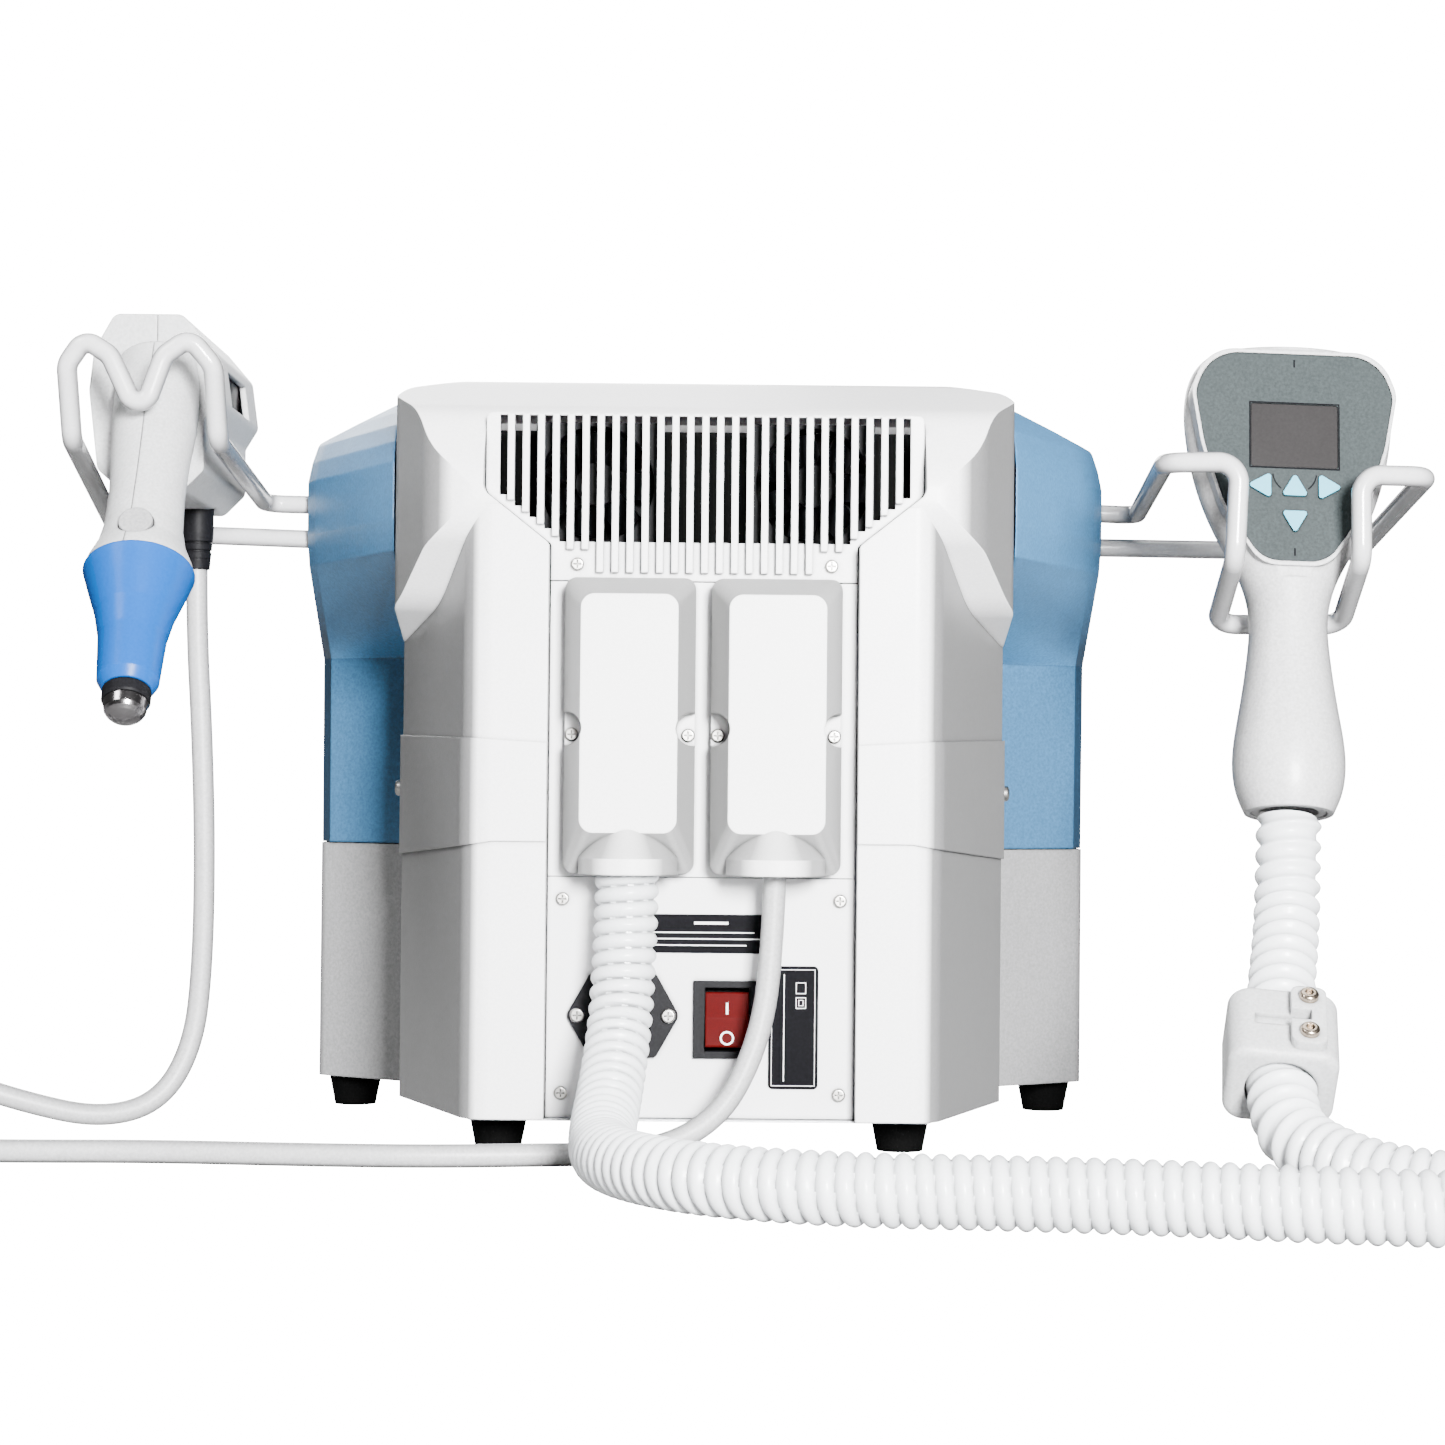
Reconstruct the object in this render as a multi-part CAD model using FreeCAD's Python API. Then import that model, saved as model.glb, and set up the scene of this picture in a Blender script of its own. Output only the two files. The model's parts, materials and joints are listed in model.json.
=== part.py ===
import FreeCAD, Part
import math
import os

# Ultrasound therapy console with two wired applicators on wire holders.
# Millimetres.  +X is to the right when the rear panel is seen from behind,
# +Y points from the rear panel to the screen, +Z is up.
# The origin is on the table, midway between the four feet.

Vector = FreeCAD.Vector
UP = Vector(0, 0, 1)
FORWARD = Vector(0, 1, 0)
RIGHT = Vector(1, 0, 0)

# ---- driving dimensions --------------------------------------------------
WALL = 3.0                 # moulded cover thickness
FOOT_HEIGHT = 15.5
BODY_TOP = 350.0
COLUMN_HALF = 140.0        # half width of the white centre section
REAR_Y = -132.0            # nearest faces of the two columns
PANEL_Y = -120.0           # recessed rear panel
PANEL_THICK = 2.0
FRONT_Y = 118.0            # front edge of the covers
RECESS_HALF = 68.0         # half width of the rear recess
SPLIT_Z = 159.0            # joint between column covers and head shell, under the bands
SIDE_HALF = 193.6          # half width over the blue shells
HOUSING_HALF = 191.0       # half width of the grey lower housing
HOUSING_TOP = 132.0
SHELL_GAP = 0.5
CONNECTOR_X = 32.0         # hand unit plugs, each side of the middle
WIRE_R = 4.4               # holder wire radius
HOSE_R = 14.0              # corrugated hose
CABLE_R = 5.0              # smooth cable
CHASSIS_HALF = 112.0       # half width of the sheet metal chassis
RUN = 0.05                 # running clearance of turning pieces

made = []


# ---- helpers ---------------------------------------------------------------
def save(name, *solids):
    """Write one sub-part, a solid or a group of solids, to its own file."""
    shape = solids[0] if len(solids) == 1 else Part.makeCompound(list(solids))
    pieces = shape.Solids
    good = all(piece.isValid() and piece.Volume > 0 for piece in pieces)
    if len(pieces) == 1:
        shape = pieces[0]
    shape.exportStep("parts/" + name + ".step")
    made.append(name)
    volume = round(sum(piece.Volume for piece in pieces) / 1000, 1)
    print(name, len(pieces), "solids", volume, "cm3", "" if good else "INVALID")


def block(x0, x1, y0, y1, z0, z1):
    return Part.makeBox(x1 - x0, y1 - y0, z1 - z0, Vector(x0, y0, z0))


def rod(start, axis, radius, length):
    return Part.makeCylinder(radius, length, start, axis)


def cone(start, axis, radius_a, radius_b, length):
    return Part.makeCone(radius_a, radius_b, length, start, axis)


def mirrored(shape):
    return shape.mirror(Vector(0, 0, 0), RIGHT)


def rounded_wire(points, radii):
    """Closed outline of straight edges, with a tangent arc at each corner that has a radius."""
    count = len(points)
    starts, ends, middles = [], [], []
    for i, corner in enumerate(points):
        back = (points[i - 1] - corner).normalize()
        ahead = (points[(i + 1) % count] - corner).normalize()
        half = back.getAngle(ahead) / 2
        radius = radii[i]
        reach = radius / math.tan(half)
        toward = (back + ahead).normalize()
        starts.append(corner + back * reach)
        ends.append(corner + ahead * reach)
        middles.append(corner + toward * (radius / math.sin(half) - radius))
    edges = []
    for i in range(count):
        if radii[i] > 0:
            edges.append(Part.Arc(starts[i], middles[i], ends[i]).toShape())
        following = starts[(i + 1) % count]
        if (following - ends[i]).Length > 1e-6:
            edges.append(Part.LineSegment(ends[i], following).toShape())
    return Part.Wire(edges)


def spread(radii, count):
    return list(radii) if hasattr(radii, "__len__") else [radii] * count


def prism_z(outline, z0, z1, radii=0.0):
    points = [Vector(x, y, z0) for x, y in outline]
    return Part.Face(rounded_wire(points, spread(radii, len(points)))).extrude(UP * (z1 - z0))


def prism_x(outline, x0, x1, radii=0.0):
    points = [Vector(x0, y, z) for y, z in outline]
    return Part.Face(rounded_wire(points, spread(radii, len(points)))).extrude(RIGHT * (x1 - x0))


def prism_y(outline, y0, y1, radii=0.0):
    points = [Vector(x, y0, z) for x, z in outline]
    return Part.Face(rounded_wire(points, spread(radii, len(points)))).extrude(FORWARD * (y1 - y0))


def both_sides(outline):
    """Full outline from its right half, listed from the middle outwards and round."""
    return outline + [(-x, y) for x, y in reversed(outline)]


def fillet(shape, radius, chosen):
    """Round the edges for which chosen(edge) is true."""
    edges = [edge for edge in shape.Edges if chosen(edge)]
    return shape.makeFillet(radius, edges)


def along(edge, axis):
    """True for a straight edge parallel to the axis."""
    if edge.Curve.TypeId != "Part::GeomLine":
        return False
    direction = (edge.Vertexes[-1].Point - edge.Vertexes[0].Point).normalize()
    return abs(abs(direction.dot(axis)) - 1) < 1e-6


def placed(shape, origin, up, right=RIGHT):
    """Move a shape from its own axes, with z along its length, to a place in the assembly."""
    z = Vector(up).normalize()
    y = z.cross(right).normalize()
    x = y.cross(z)
    matrix = FreeCAD.Matrix(
        x.x, y.x, z.x, origin.x,
        x.y, y.y, z.y, origin.y,
        x.z, y.z, z.z, origin.z,
        0, 0, 0, 1)
    moved = shape.copy()
    moved.Placement = FreeCAD.Placement(matrix).multiply(shape.Placement)
    return moved


def turned(profile):
    """Solid of revolution about z from (radius, height) points that start and end on the axis."""
    points = [Vector(r, 0, z) for r, z in profile]
    return Part.Face(Part.makePolygon(points + points[:1])).revolve(Vector(0, 0, 0), UP, 360)


def oval(half_x, half_y, z, middle_y=0.0):
    """Closed smooth section at height z."""
    major, minor = max(half_x, half_y), min(half_x, half_y)
    if abs(major - minor) < 1e-6:
        return Part.Wire(Part.Circle(Vector(0, middle_y, z), UP, major).toShape())
    ellipse = Part.Ellipse(Vector(0, middle_y, z), major, minor)
    if half_y > half_x:
        ellipse.rotateZ = 90
    return Part.Wire(ellipse.toShape())


# ---- covers ------------------------------------------------------------------
FLANK = [(102.0, REAR_Y), (COLUMN_HALF, -33.0)]
HEAD_FLANK = [(118.0, REAR_Y), (COLUMN_HALF, -84.0)]


def column_plan(inset=0.0):
    """Right column in plan: rear face, angled flank and side wall."""
    (x1, y1), (x2, y2) = FLANK
    lean = math.atan2(x2 - x1, y2 - y1)
    step = inset * math.tan((math.pi / 2 - lean) / 2)
    slip = inset * math.tan(lean / 2)
    return [(RECESS_HALF + max(inset, 0.0), y1 + inset), (x1 - step, y1 + inset),
            (x2 - inset, y2 + slip), (x2 - inset, FRONT_Y - 6), (RECESS_HALF + max(inset, 0.0), FRONT_Y - 6)]


def column(z0, z1, inset=0.0):
    radius = 14.0 - inset
    return prism_z(column_plan(inset), z0, z1, [0, radius, 3.0, 0, 0])


def head_block(inset=0.0):
    """Barrel-shaped head: a side profile, a plan and a top profile, intersected."""
    front = FRONT_Y - 6 + inset * 4
    top = BODY_TOP - inset
    (x1, y1), (x2, y2) = HEAD_FLANK
    side = prism_x([(front, top), (-45, top), (-112 + inset * 0.6, top - 22), (REAR_Y + inset, top - 50),
                    (REAR_Y + inset, 276 + inset), (-88 + inset, 243 + inset), (-33, 228 + inset),
                    (front, 222 + inset)],
                   -COLUMN_HALF + inset, COLUMN_HALF - inset,
                   [0, 80, 34, 24 - 2 * inset, 24 - 2 * inset, 60, 60, 0])
    half = [(x1 - inset * 0.6, y1 + inset), (x2 - inset, y2 + inset * 0.3), (x2 - inset, front)]
    plan = prism_z(both_sides(half), 150, 360, [26 - inset, 20, 0, 0, 20, 26 - inset])
    profile = prism_y(both_sides([(108, top), (COLUMN_HALF - inset, top - 7.4), (COLUMN_HALF - inset, 150)]),
                      -140, front, [30, 10, 0, 0, 10, 30])
    return side.common(plan).common(profile)


RECESS_OUTLINE = both_sides([(97, 327), (97, 291), (RECESS_HALF, 268), (RECESS_HALF, 150)])
RECESS_RADII = [4, 6, 3, 0, 0, 3, 6, 4]


def head_shell():
    outer = head_block()
    for piece in (column(SPLIT_Z, 285), mirrored(column(SPLIT_Z, 285))):
        outer = outer.fuse(piece)
    outer = outer.fuse(block(-90, 90, -110, FRONT_Y - 6, SPLIT_Z, 285)).removeSplitter()
    inner = head_block(WALL)
    for piece in (column(SPLIT_Z - 5, 285, WALL), mirrored(column(SPLIT_Z - 5, 285, WALL))):
        inner = inner.fuse(piece)
    inner = inner.fuse(block(-RECESS_HALF - 5, RECESS_HALF + 5, REAR_Y + WALL, FRONT_Y + 6, SPLIT_Z - 5, 285))
    grown = both_sides([(100, 330), (100, 289.5), (RECESS_HALF + WALL, 265), (RECESS_HALF + WALL, 140)])
    lining = prism_y(grown, REAR_Y, PANEL_Y + PANEL_THICK)
    inner = inner.cut(lining)
    recess = prism_y(RECESS_OUTLINE, REAR_Y - 20, PANEL_Y + 20, RECESS_RADII)
    return outer.cut(inner).cut(recess)


def column_cover():
    """Lower white column cover, open inside and to the front."""
    bottom = FOOT_HEIGHT + 0.9
    outer = column(bottom, SPLIT_Z - SHELL_GAP)
    hollow = column(bottom - 1, SPLIT_Z + 1, WALL)
    inner_side = block(RECESS_HALF - 1, RECESS_HALF + WALL + 1, PANEL_Y + PANEL_THICK + 2, FRONT_Y, 0, 200)
    return outer.cut(hollow).cut(inner_side)


def column_band():
    """Raised strip over the joint, deeper towards the outside edge."""
    outer = column(120, 190, -1.3).cut(column(119, 191, -0.05))
    outer = outer.common(block(RECESS_HALF, COLUMN_HALF + 3, REAR_Y - 3, -14, 120, 190))
    edge = [(RECESS_HALF - 1, 180.7), (COLUMN_HALF + 4, 185.0), (COLUMN_HALF + 4, 128.9),
            (92, 137.6), (RECESS_HALF - 1, 137.6)]
    return outer.common(prism_y(edge, REAR_Y - 4, 0, [0, 0, 0, 20, 0]))


def side_loft(inset=0.0):
    """Blue side shell: the rear face leans forward under the shoulder."""
    inner_x = COLUMN_HALF + 1 - (4 * inset)
    drop = 8 if inset else 0

    def section(rear_in, corner_y, outer_x, z):
        return Part.makePolygon([Vector(x, y, z) for x, y in (
            (inner_x, rear_in + inset * 1.2), (outer_x - inset - 5, corner_y + inset - 6),
            (outer_x - inset, corner_y + inset + 6), (outer_x - inset, FRONT_Y),
            (inner_x, FRONT_Y), (inner_x, rear_in + inset * 1.2))])

    levels = [(45, 79, HOUSING_HALF, HOUSING_TOP + 0.5 - drop), (45, 79, HOUSING_HALF + 0.4, 224 + inset),
              (-76, 32, SIDE_HALF, 268 + inset), (-80, 24, SIDE_HALF, 282), (-80, 24, SIDE_HALF, 308 - inset),
              (-74, 30, SIDE_HALF - 1.2, 318 - inset), (-63, 38, SIDE_HALF - 3, 327 - inset),
              (-46, 50, SIDE_HALF - 6, 335 - inset), (-20, 66, SIDE_HALF - 10, 344 - inset)]
    solid = Part.makeLoft([section(*level) for level in levels], True, True)
    slope = prism_y([(inner_x - 1, 110), (inner_x - 1, 342.6 - inset), (191, 328.6 - inset), (200, 320),
                     (200, 110)], -100, FRONT_Y + 1, [0, 0, 8, 0, 0])
    return solid.common(slope)


def side_shell():
    outer = side_loft()
    inner = side_loft(WALL).common(block(COLUMN_HALF + 1 + WALL, 200, -90, FRONT_Y - 1, 100, 350))
    holes = [rod(Vector(150, HOLDER_Y, z), RIGHT, WIRE_R + 0.3, 60) for z in HOLDER_Z]
    shell = outer.cut(inner)
    for hole in holes:
        shell = shell.cut(hole)
    return shell


def lower_housing():
    """Grey lower housing round the front of the base."""
    outline = both_sides([(COLUMN_HALF + 1, 45), (HOUSING_HALF, 79), (HOUSING_HALF, FRONT_Y)])
    outer = prism_z(outline, FOOT_HEIGHT, HOUSING_TOP, [0, 6, 4, 4, 6, 0])
    inside = HOUSING_HALF - WALL
    inner = prism_z(both_sides([(COLUMN_HALF + 4, 50), (inside, 81), (inside, FRONT_Y - 3)]),
                    FOOT_HEIGHT + WALL, HOUSING_TOP + 1)
    behind = block(-COLUMN_HALF - SHELL_GAP, COLUMN_HALF + SHELL_GAP, -60, FRONT_Y - 5, 0, 200)
    return outer.cut(inner).cut(behind)


# ---- rear fittings -------------------------------------------------------------
HOLDER_Y = 40.0
HOLDER_Z = (298.0, 281.0)
GRILLE_SLOTS = 28
SLOT_PITCH = 6.57
SLOT_WIDE = 3.6
SCREW_SPOTS = [(61, 112.3), (-61, 112.3), (61, 27.2), (-61, 27.2)]
GRILLE_SCREWS = [(56, 259.6), (-56, 259.6)]
INLET_CENTRE = (-34.0, 61.5)
SWITCH_CENTRE = (11.8, 60.0)
ROCKER_AXLE_R = 1.5


def lower_rear_panel():
    plate = block(-67.5, 67.5, PANEL_Y, PANEL_Y + PANEL_THICK, 16.6, 122)
    x, z = INLET_CENTRE
    plate = plate.cut(block(x - 14.2, x + 14.2, PANEL_Y - 1, PANEL_Y + 3, z - 12.2, z + 12.2))
    x, z = SWITCH_CENTRE
    return plate.cut(block(x - 12.2, x + 12.2, PANEL_Y - 1, PANEL_Y + 3, z - 15.2, z + 15.2))


def connector_panel():
    plate = block(-67.5, 67.5, PANEL_Y, PANEL_Y + PANEL_THICK, 122.4, 252)
    for x in (-CONNECTOR_X, CONNECTOR_X):
        plate = plate.cut(rod(Vector(x, PANEL_Y - 1, 190), FORWARD, 15.3, 4))
    return plate


def vent_grille():
    """Finned cover: slots above a solid apron, fins standing proud of the apron."""
    outline = both_sides([(96.5, 326.5), (96.5, 291.3), (67.5, 268.4), (67.5, 252.5)])
    plate = prism_y(outline, PANEL_Y, PANEL_Y + 3, [3, 5, 2, 0, 0, 2, 5, 3])
    first = -SLOT_PITCH * (GRILLE_SLOTS - 1) / 2
    openings, fins = [], []
    for i in range(GRILLE_SLOTS):
        x = first + i * SLOT_PITCH
        low = 269.5 if abs(x) < 66 else 273 + (abs(x) - 66) * 0.75
        openings.append(block(x - SLOT_WIDE / 2, x + SLOT_WIDE / 2, PANEL_Y - 1, PANEL_Y + 4, low, 325.3))
    for i in range(GRILLE_SLOTS - 1):
        x = first + (i + 0.5) * SLOT_PITCH
        low = 256 if abs(x) < 64 else 272 + (abs(x) - 66) * 0.8
        if min(abs(abs(x) - s[0]) for s in GRILLE_SCREWS) > 5:
            fins.append(block(x - 1.48, x + 1.48, PANEL_Y - 4, PANEL_Y + 0.5, low, 325.5))
        else:
            fins.append(block(x - 1.48, x + 1.48, PANEL_Y - 4, PANEL_Y + 0.5, 266, 325.5))
    plate = plate.cut(Part.makeCompound(openings))
    return plate.multiFuse(fins)


def connector_housing(x):
    """Plug housing with bevelled sides and two screw pockets."""
    base = [(-28.5, 124), (28.5, 124), (28.5, 253), (-28.5, 253)]
    face = [(-21, 142), (21, 142), (21, 245), (-21, 245)]

    def ring(points, y, radius):
        return rounded_wire([Vector(x + px, y, z) for px, z in points], [radius] * 4)

    body = Part.makeLoft([ring(base, PANEL_Y - 0.1, 5), ring(base, PANEL_Y - 14, 5)], True, True)
    nose = Part.makeLoft([ring(base, PANEL_Y - 14, 5), ring(face, -153, 6)], True, True)
    solid = body.fuse(nose)
    for side in (-1, 1):
        solid = solid.cut(rod(Vector(x + side * 27.5, PANEL_Y - 8, 187), -FORWARD, 7.2, 40))
    lip = rod(Vector(x, -140, 124), UP, 21.5, 7).fuse(cone(Vector(x, -140, 131), UP, 21.5, 12, 14))
    solid = solid.fuse(lip.common(block(x - 22, x + 22, -170, PANEL_Y - 0.1, 120, 150)))
    solid = solid.cut(block(x - 20, x + 20, -140, PANEL_Y + 1, 146, 240))
    return solid.cut(rod(Vector(x, -140, 120), UP, 17.0, 14))


def cord_gland(x, bore):
    """Bush inside the plug housing, round the cord's first millimetres."""
    ring = rod(Vector(x, -140, 126), UP, 16.8, 7.9)
    return ring.cut(rod(Vector(x, -140, 125), UP, bore + 0.1, 7))


def cross_screw(spot, radius=3.0, axis=FORWARD):
    """Pan head screw with a cross recess, head towards the outside."""
    head = rod(spot - axis * 1.8, axis, radius, 1.8)
    head = fillet(head, 0.9, lambda e: abs((e.CenterOfMass - spot).dot(axis) + 1.8) < 1e-3 and e.Closed)
    side = axis.cross(UP).normalize()
    for direction in (UP, side):
        other = axis.cross(direction).normalize()
        corner = spot - axis * 2.0 - direction * (radius * 0.6) - other * 0.35
        face = Part.Face(Part.makePolygon([
            corner, corner + direction * radius * 1.2, corner + direction * radius * 1.2 + other * 0.7,
            corner + other * 0.7, corner]))
        head = head.cut(face.extrude(axis * 1.0))
    return head


def inlet_body():
    x, z = INLET_CENTRE
    outline = [(x + sx * px, z + sz * pz) for sx, sz, px, pz in (
        (-1, -1, 14.5, 18.3), (1, -1, 14.5, 18.3), (1, 1, 24.8, 0), (1, 1, 14.5, 18.3),
        (-1, 1, 14.5, 18.3), (-1, 1, 24.8, 0))]
    flange = prism_y(outline, PANEL_Y - 3, PANEL_Y - 0.02, [2, 2, 4, 2, 2, 4])
    body = block(x - 13.8, x + 13.8, PANEL_Y - 0.5, PANEL_Y + 22, z - 11.8, z + 11.8)
    mouth = [(-12, -8), (12, -8), (12, 4), (8, 8), (-8, 8), (-12, 4)]
    well = prism_y([(x + px, z + pz) for px, pz in mouth], PANEL_Y - 4, PANEL_Y + 15)
    solid = flange.fuse(body).cut(well)
    for side in (-1, 1):
        solid = solid.cut(rod(Vector(x + side * 20, PANEL_Y - 4, z), FORWARD, 1.7, 6))
    return solid


def inlet_pins():
    x, z = INLET_CENTRE
    spots = [(x - 7, z - 3.2), (x, z + 1.5), (x + 7, z - 3.2)]
    return [block(a - 1, a + 1, PANEL_Y + 2, PANEL_Y + 15, b - 2, b + 2) for a, b in spots]


def switch_frame():
    x, z = SWITCH_CENTRE
    bezel = block(x - 14.8, x + 14.8, PANEL_Y - 2.4, PANEL_Y - 0.02, z - 16.95, z + 16.95)
    body = block(x - 12, x + 12, PANEL_Y - 0.5, PANEL_Y + 20, z - 15, z + 15)
    opening = block(x - 9.8, x + 9.8, PANEL_Y - 4, PANEL_Y + 12, z - 14, z + 14)
    axle_hole = rod(Vector(x - 11.2, PANEL_Y + 3, z), RIGHT, ROCKER_AXLE_R + RUN, 22.4)
    return bezel.fuse(body).cut(opening).cut(axle_hole)


def switch_rocker():
    """Rocker at rest with its upper half pressed in."""
    x, z = SWITCH_CENTRE
    side = [(PANEL_Y - 2.0, z + 12.2), (PANEL_Y - 3.0, z + 0.6), (PANEL_Y - 5.8, z - 12.0),
            (PANEL_Y + 2.0, z - 11.0), (PANEL_Y + 5.0, z), (PANEL_Y + 2.0, z + 11.6)]
    axle = rod(Vector(x - 11, PANEL_Y + 3, z), RIGHT, ROCKER_AXLE_R, 22)
    return prism_x(side, x - 9.5, x + 9.5, [0.8, 8, 0.8, 0, 0, 0]).fuse(axle)


def label_plates():
    upper = prism_y([(-26, 89), (32, 89), (32, 106), (-26, 106)], PANEL_Y - 0.4, PANEL_Y - 0.02, 1.0)
    rating = prism_y([(30, 29.6), (51.8, 29.6), (51.8, 83.6), (30, 83.6)], PANEL_Y - 0.4, PANEL_Y - 0.02, 2.0)
    return [upper, rating]


# ---- base, feet, front and inner pieces -------------------------------------------
FEET = [(-90, -90), (90, -90), (-174, 94), (174, 94)]


def base_plate():
    outline = both_sides([(100, -126), (136, -32), (COLUMN_HALF - 1, 44), (COLUMN_HALF - 1, FRONT_Y - 8)])
    return prism_z(outline, FOOT_HEIGHT, FOOT_HEIGHT + 0.8)


def feet():
    pads = []
    for x, y in FEET:
        pad = cone(Vector(x, y, 0), UP, 10.25, 13.25, FOOT_HEIGHT - 0.1)
        pads.append(pad.cut(rod(Vector(x, y, -1), UP, 3.2, 6)))
    return pads


def front_bezel():
    """Front cover that holds the touch screen."""
    outline = both_sides([(COLUMN_HALF + 30, FOOT_HEIGHT + 1), (SIDE_HALF - 4, 30), (SIDE_HALF - 3, 300),
                          (SIDE_HALF - 8, 326), (COLUMN_HALF, 340), (108, 348)])
    plate = prism_y(outline, FRONT_Y + 0.3, FRONT_Y + 7, [6, 6, 6, 6, 10, 10, 10, 10, 6, 6, 6, 6])
    plate = plate.cut(block(-112, 112, FRONT_Y + 4, FRONT_Y + 8, 150, 316))
    return plate.cut(block(-106, 106, FRONT_Y - 1, FRONT_Y + 8, 156, 310))


def circuit_boards():
    main = block(-95, 60, 20, 21.6, 60, 210)
    generator = block(-60, 95, 60, 61.6, 60, 230)
    return [main, generator]


def chassis():
    floor = block(-CHASSIS_HALF, CHASSIS_HALF, -95, 100, 20, 21.5)
    wall = block(-CHASSIS_HALF, CHASSIS_HALF, -20, -18.5, 21.5, 235)
    return floor.fuse(wall)


def power_supply():
    case = block(-90, 50, -85, -30, 24, 74)
    vents = [block(x, x + 3, -86, -84, 34, 64) for x in range(-80, 44, 9)]
    return case.cut(Part.makeCompound(vents))


FAN_X = 48.0
FAN_Z = 296.0
FAN_HALF = 27.0


def fan_frame(x):
    frame = block(x - FAN_HALF, x + FAN_HALF, PANEL_Y + 8, PANEL_Y + 28, FAN_Z - FAN_HALF, FAN_Z + FAN_HALF)
    frame = frame.cut(rod(Vector(x, PANEL_Y + 7, FAN_Z), FORWARD, FAN_HALF - 1.5, 22))
    for angle in (30, 150, 270):
        spoke = block(x, x + FAN_HALF - 1, PANEL_Y + 25.5, PANEL_Y + 28, FAN_Z - 1.5, FAN_Z + 1.5)
        spoke.rotate(Vector(x, 0, FAN_Z), FORWARD, angle)
        frame = frame.fuse(spoke)
    frame = frame.fuse(rod(Vector(x, PANEL_Y + 25.5, FAN_Z), FORWARD, 9, 2.5))
    return frame.fuse(rod(Vector(x, PANEL_Y + 12, FAN_Z), FORWARD, 2.0, 14))


def fan_rotor(x):
    hub = rod(Vector(x, PANEL_Y + 10, FAN_Z), FORWARD, 9.5, 13)
    rotor = hub
    for i in range(7):
        blade = block(x + 8, x + FAN_HALF - 3.5, PANEL_Y + 15.5, PANEL_Y + 17.3, FAN_Z - 7, FAN_Z + 7)
        blade.rotate(Vector(x, PANEL_Y + 16.4, FAN_Z), RIGHT, 35)
        blade.rotate(Vector(x, 0, FAN_Z), FORWARD, i * 360 / 7)
        rotor = rotor.fuse(blade)
    return rotor.cut(rod(Vector(x, PANEL_Y + 11, FAN_Z), FORWARD, 2.0 + RUN, 14))


def heat_sink():
    plate = block(-50, 50, 64, 70, 80, 200)
    fins = [block(-50 + i * 9.0, -48 + i * 9.0, 69, 92, 80, 200) for i in range(12)]
    return plate.multiFuse(fins)


# ---- wire holders ----------------------------------------------------------------
def bent_wire(points, bend):
    """Centre line of straight runs with a tangent arc of the given radius at each inner point."""
    spots = [Vector(*p) for p in points]
    edges = []
    start = spots[0]
    for i in range(1, len(spots) - 1):
        back = (spots[i - 1] - spots[i]).normalize()
        ahead = (spots[i + 1] - spots[i]).normalize()
        half = back.getAngle(ahead) / 2
        radius = bend(i) if callable(bend) else bend
        reach = radius / math.tan(half)
        middle = spots[i] + (back + ahead).normalize() * (radius / math.sin(half) - radius)
        first = spots[i] + back * reach
        last = spots[i] + ahead * reach
        edges.append(Part.LineSegment(start, first).toShape())
        edges.append(Part.Arc(first, middle, last).toShape())
        start = last
    edges.append(Part.LineSegment(start, spots[-1]).toShape())
    return Part.Wire(edges)


def tube(path, radius):
    start = path.Edges[0]
    heading = start.tangentAt(start.FirstParameter)
    profile = Part.Wire(Part.Circle(start.Vertexes[0].Point, heading, radius).toShape())
    return path.makePipeShell([profile], True, False)


HOLDER_LEFT = [
    (-186, 40, 298), (-215.5, 40, 298.5), (-211.5, -140, 310), (-212, -154, 341), (-222, -156, 353),
    (-233, -156, 345), (-242.8, -156, 317), (-256, -156, 345), (-267, -156, 352), (-275, -154, 341),
    (-275, -140, 310), (-288, 40, 284), (-186, 40, 281)]
HOLDER_RIGHT = [
    (186, 40, 298), (212, 40, 297), (197, -160, 303), (228, -166, 303), (226, -168, 262),
    (226, -118, 236), (281, -118, 236), (280, -168, 262), (280, -166, 298), (309, -162, 298),
    (321, 40, 280), (186, 40, 281)]


def holder(points):
    def bend(i):
        spots = [Vector(*p) for p in points[i - 1:i + 2]]
        short = min((spots[0] - spots[1]).Length, (spots[2] - spots[1]).Length)
        half = (spots[0] - spots[1]).getAngle(spots[2] - spots[1]) / 2
        return min(9.0, 0.42 * short * math.tan(half))
    return tube(bent_wire(points, bend), WIRE_R)


# ---- left applicator: a gun-shaped hand unit, tip down and leaning to the rear ------
TIP = Vector(-237.4, -215, 187.1)
TIP_UP = Vector(-6.4, 125, 182.5)
APPLICATOR_BODY = [(-262, 369), (-232, 369), (-219, 354), (-216, 332), (-222, 322), (-222, 300),
                   (-232, 290), (-258, 290), (-269, 300), (-273, 335), (-271, 353)]
APPLICATOR_Y = (-114.0, 15.0)
BUTTON_SPOT = 90.0


def lathe_here(profile):
    return placed(turned(profile), TIP, TIP_UP)


def applicator_solid():
    y0, y1 = APPLICATOR_Y
    body = prism_y(APPLICATOR_BODY, y0, y1, [5, 5, 5, 5, 3, 4, 5, 5, 5, 8, 6])
    neck = lathe_here([(0, 76.2), (23.4, 76.2), (22.3, 80), (18.8, 89), (16.8, 100), (16.2, 118), (17.0, 138),
                       (18.5, 156), (18.5, 192), (0, 192)])
    return body, neck


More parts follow.
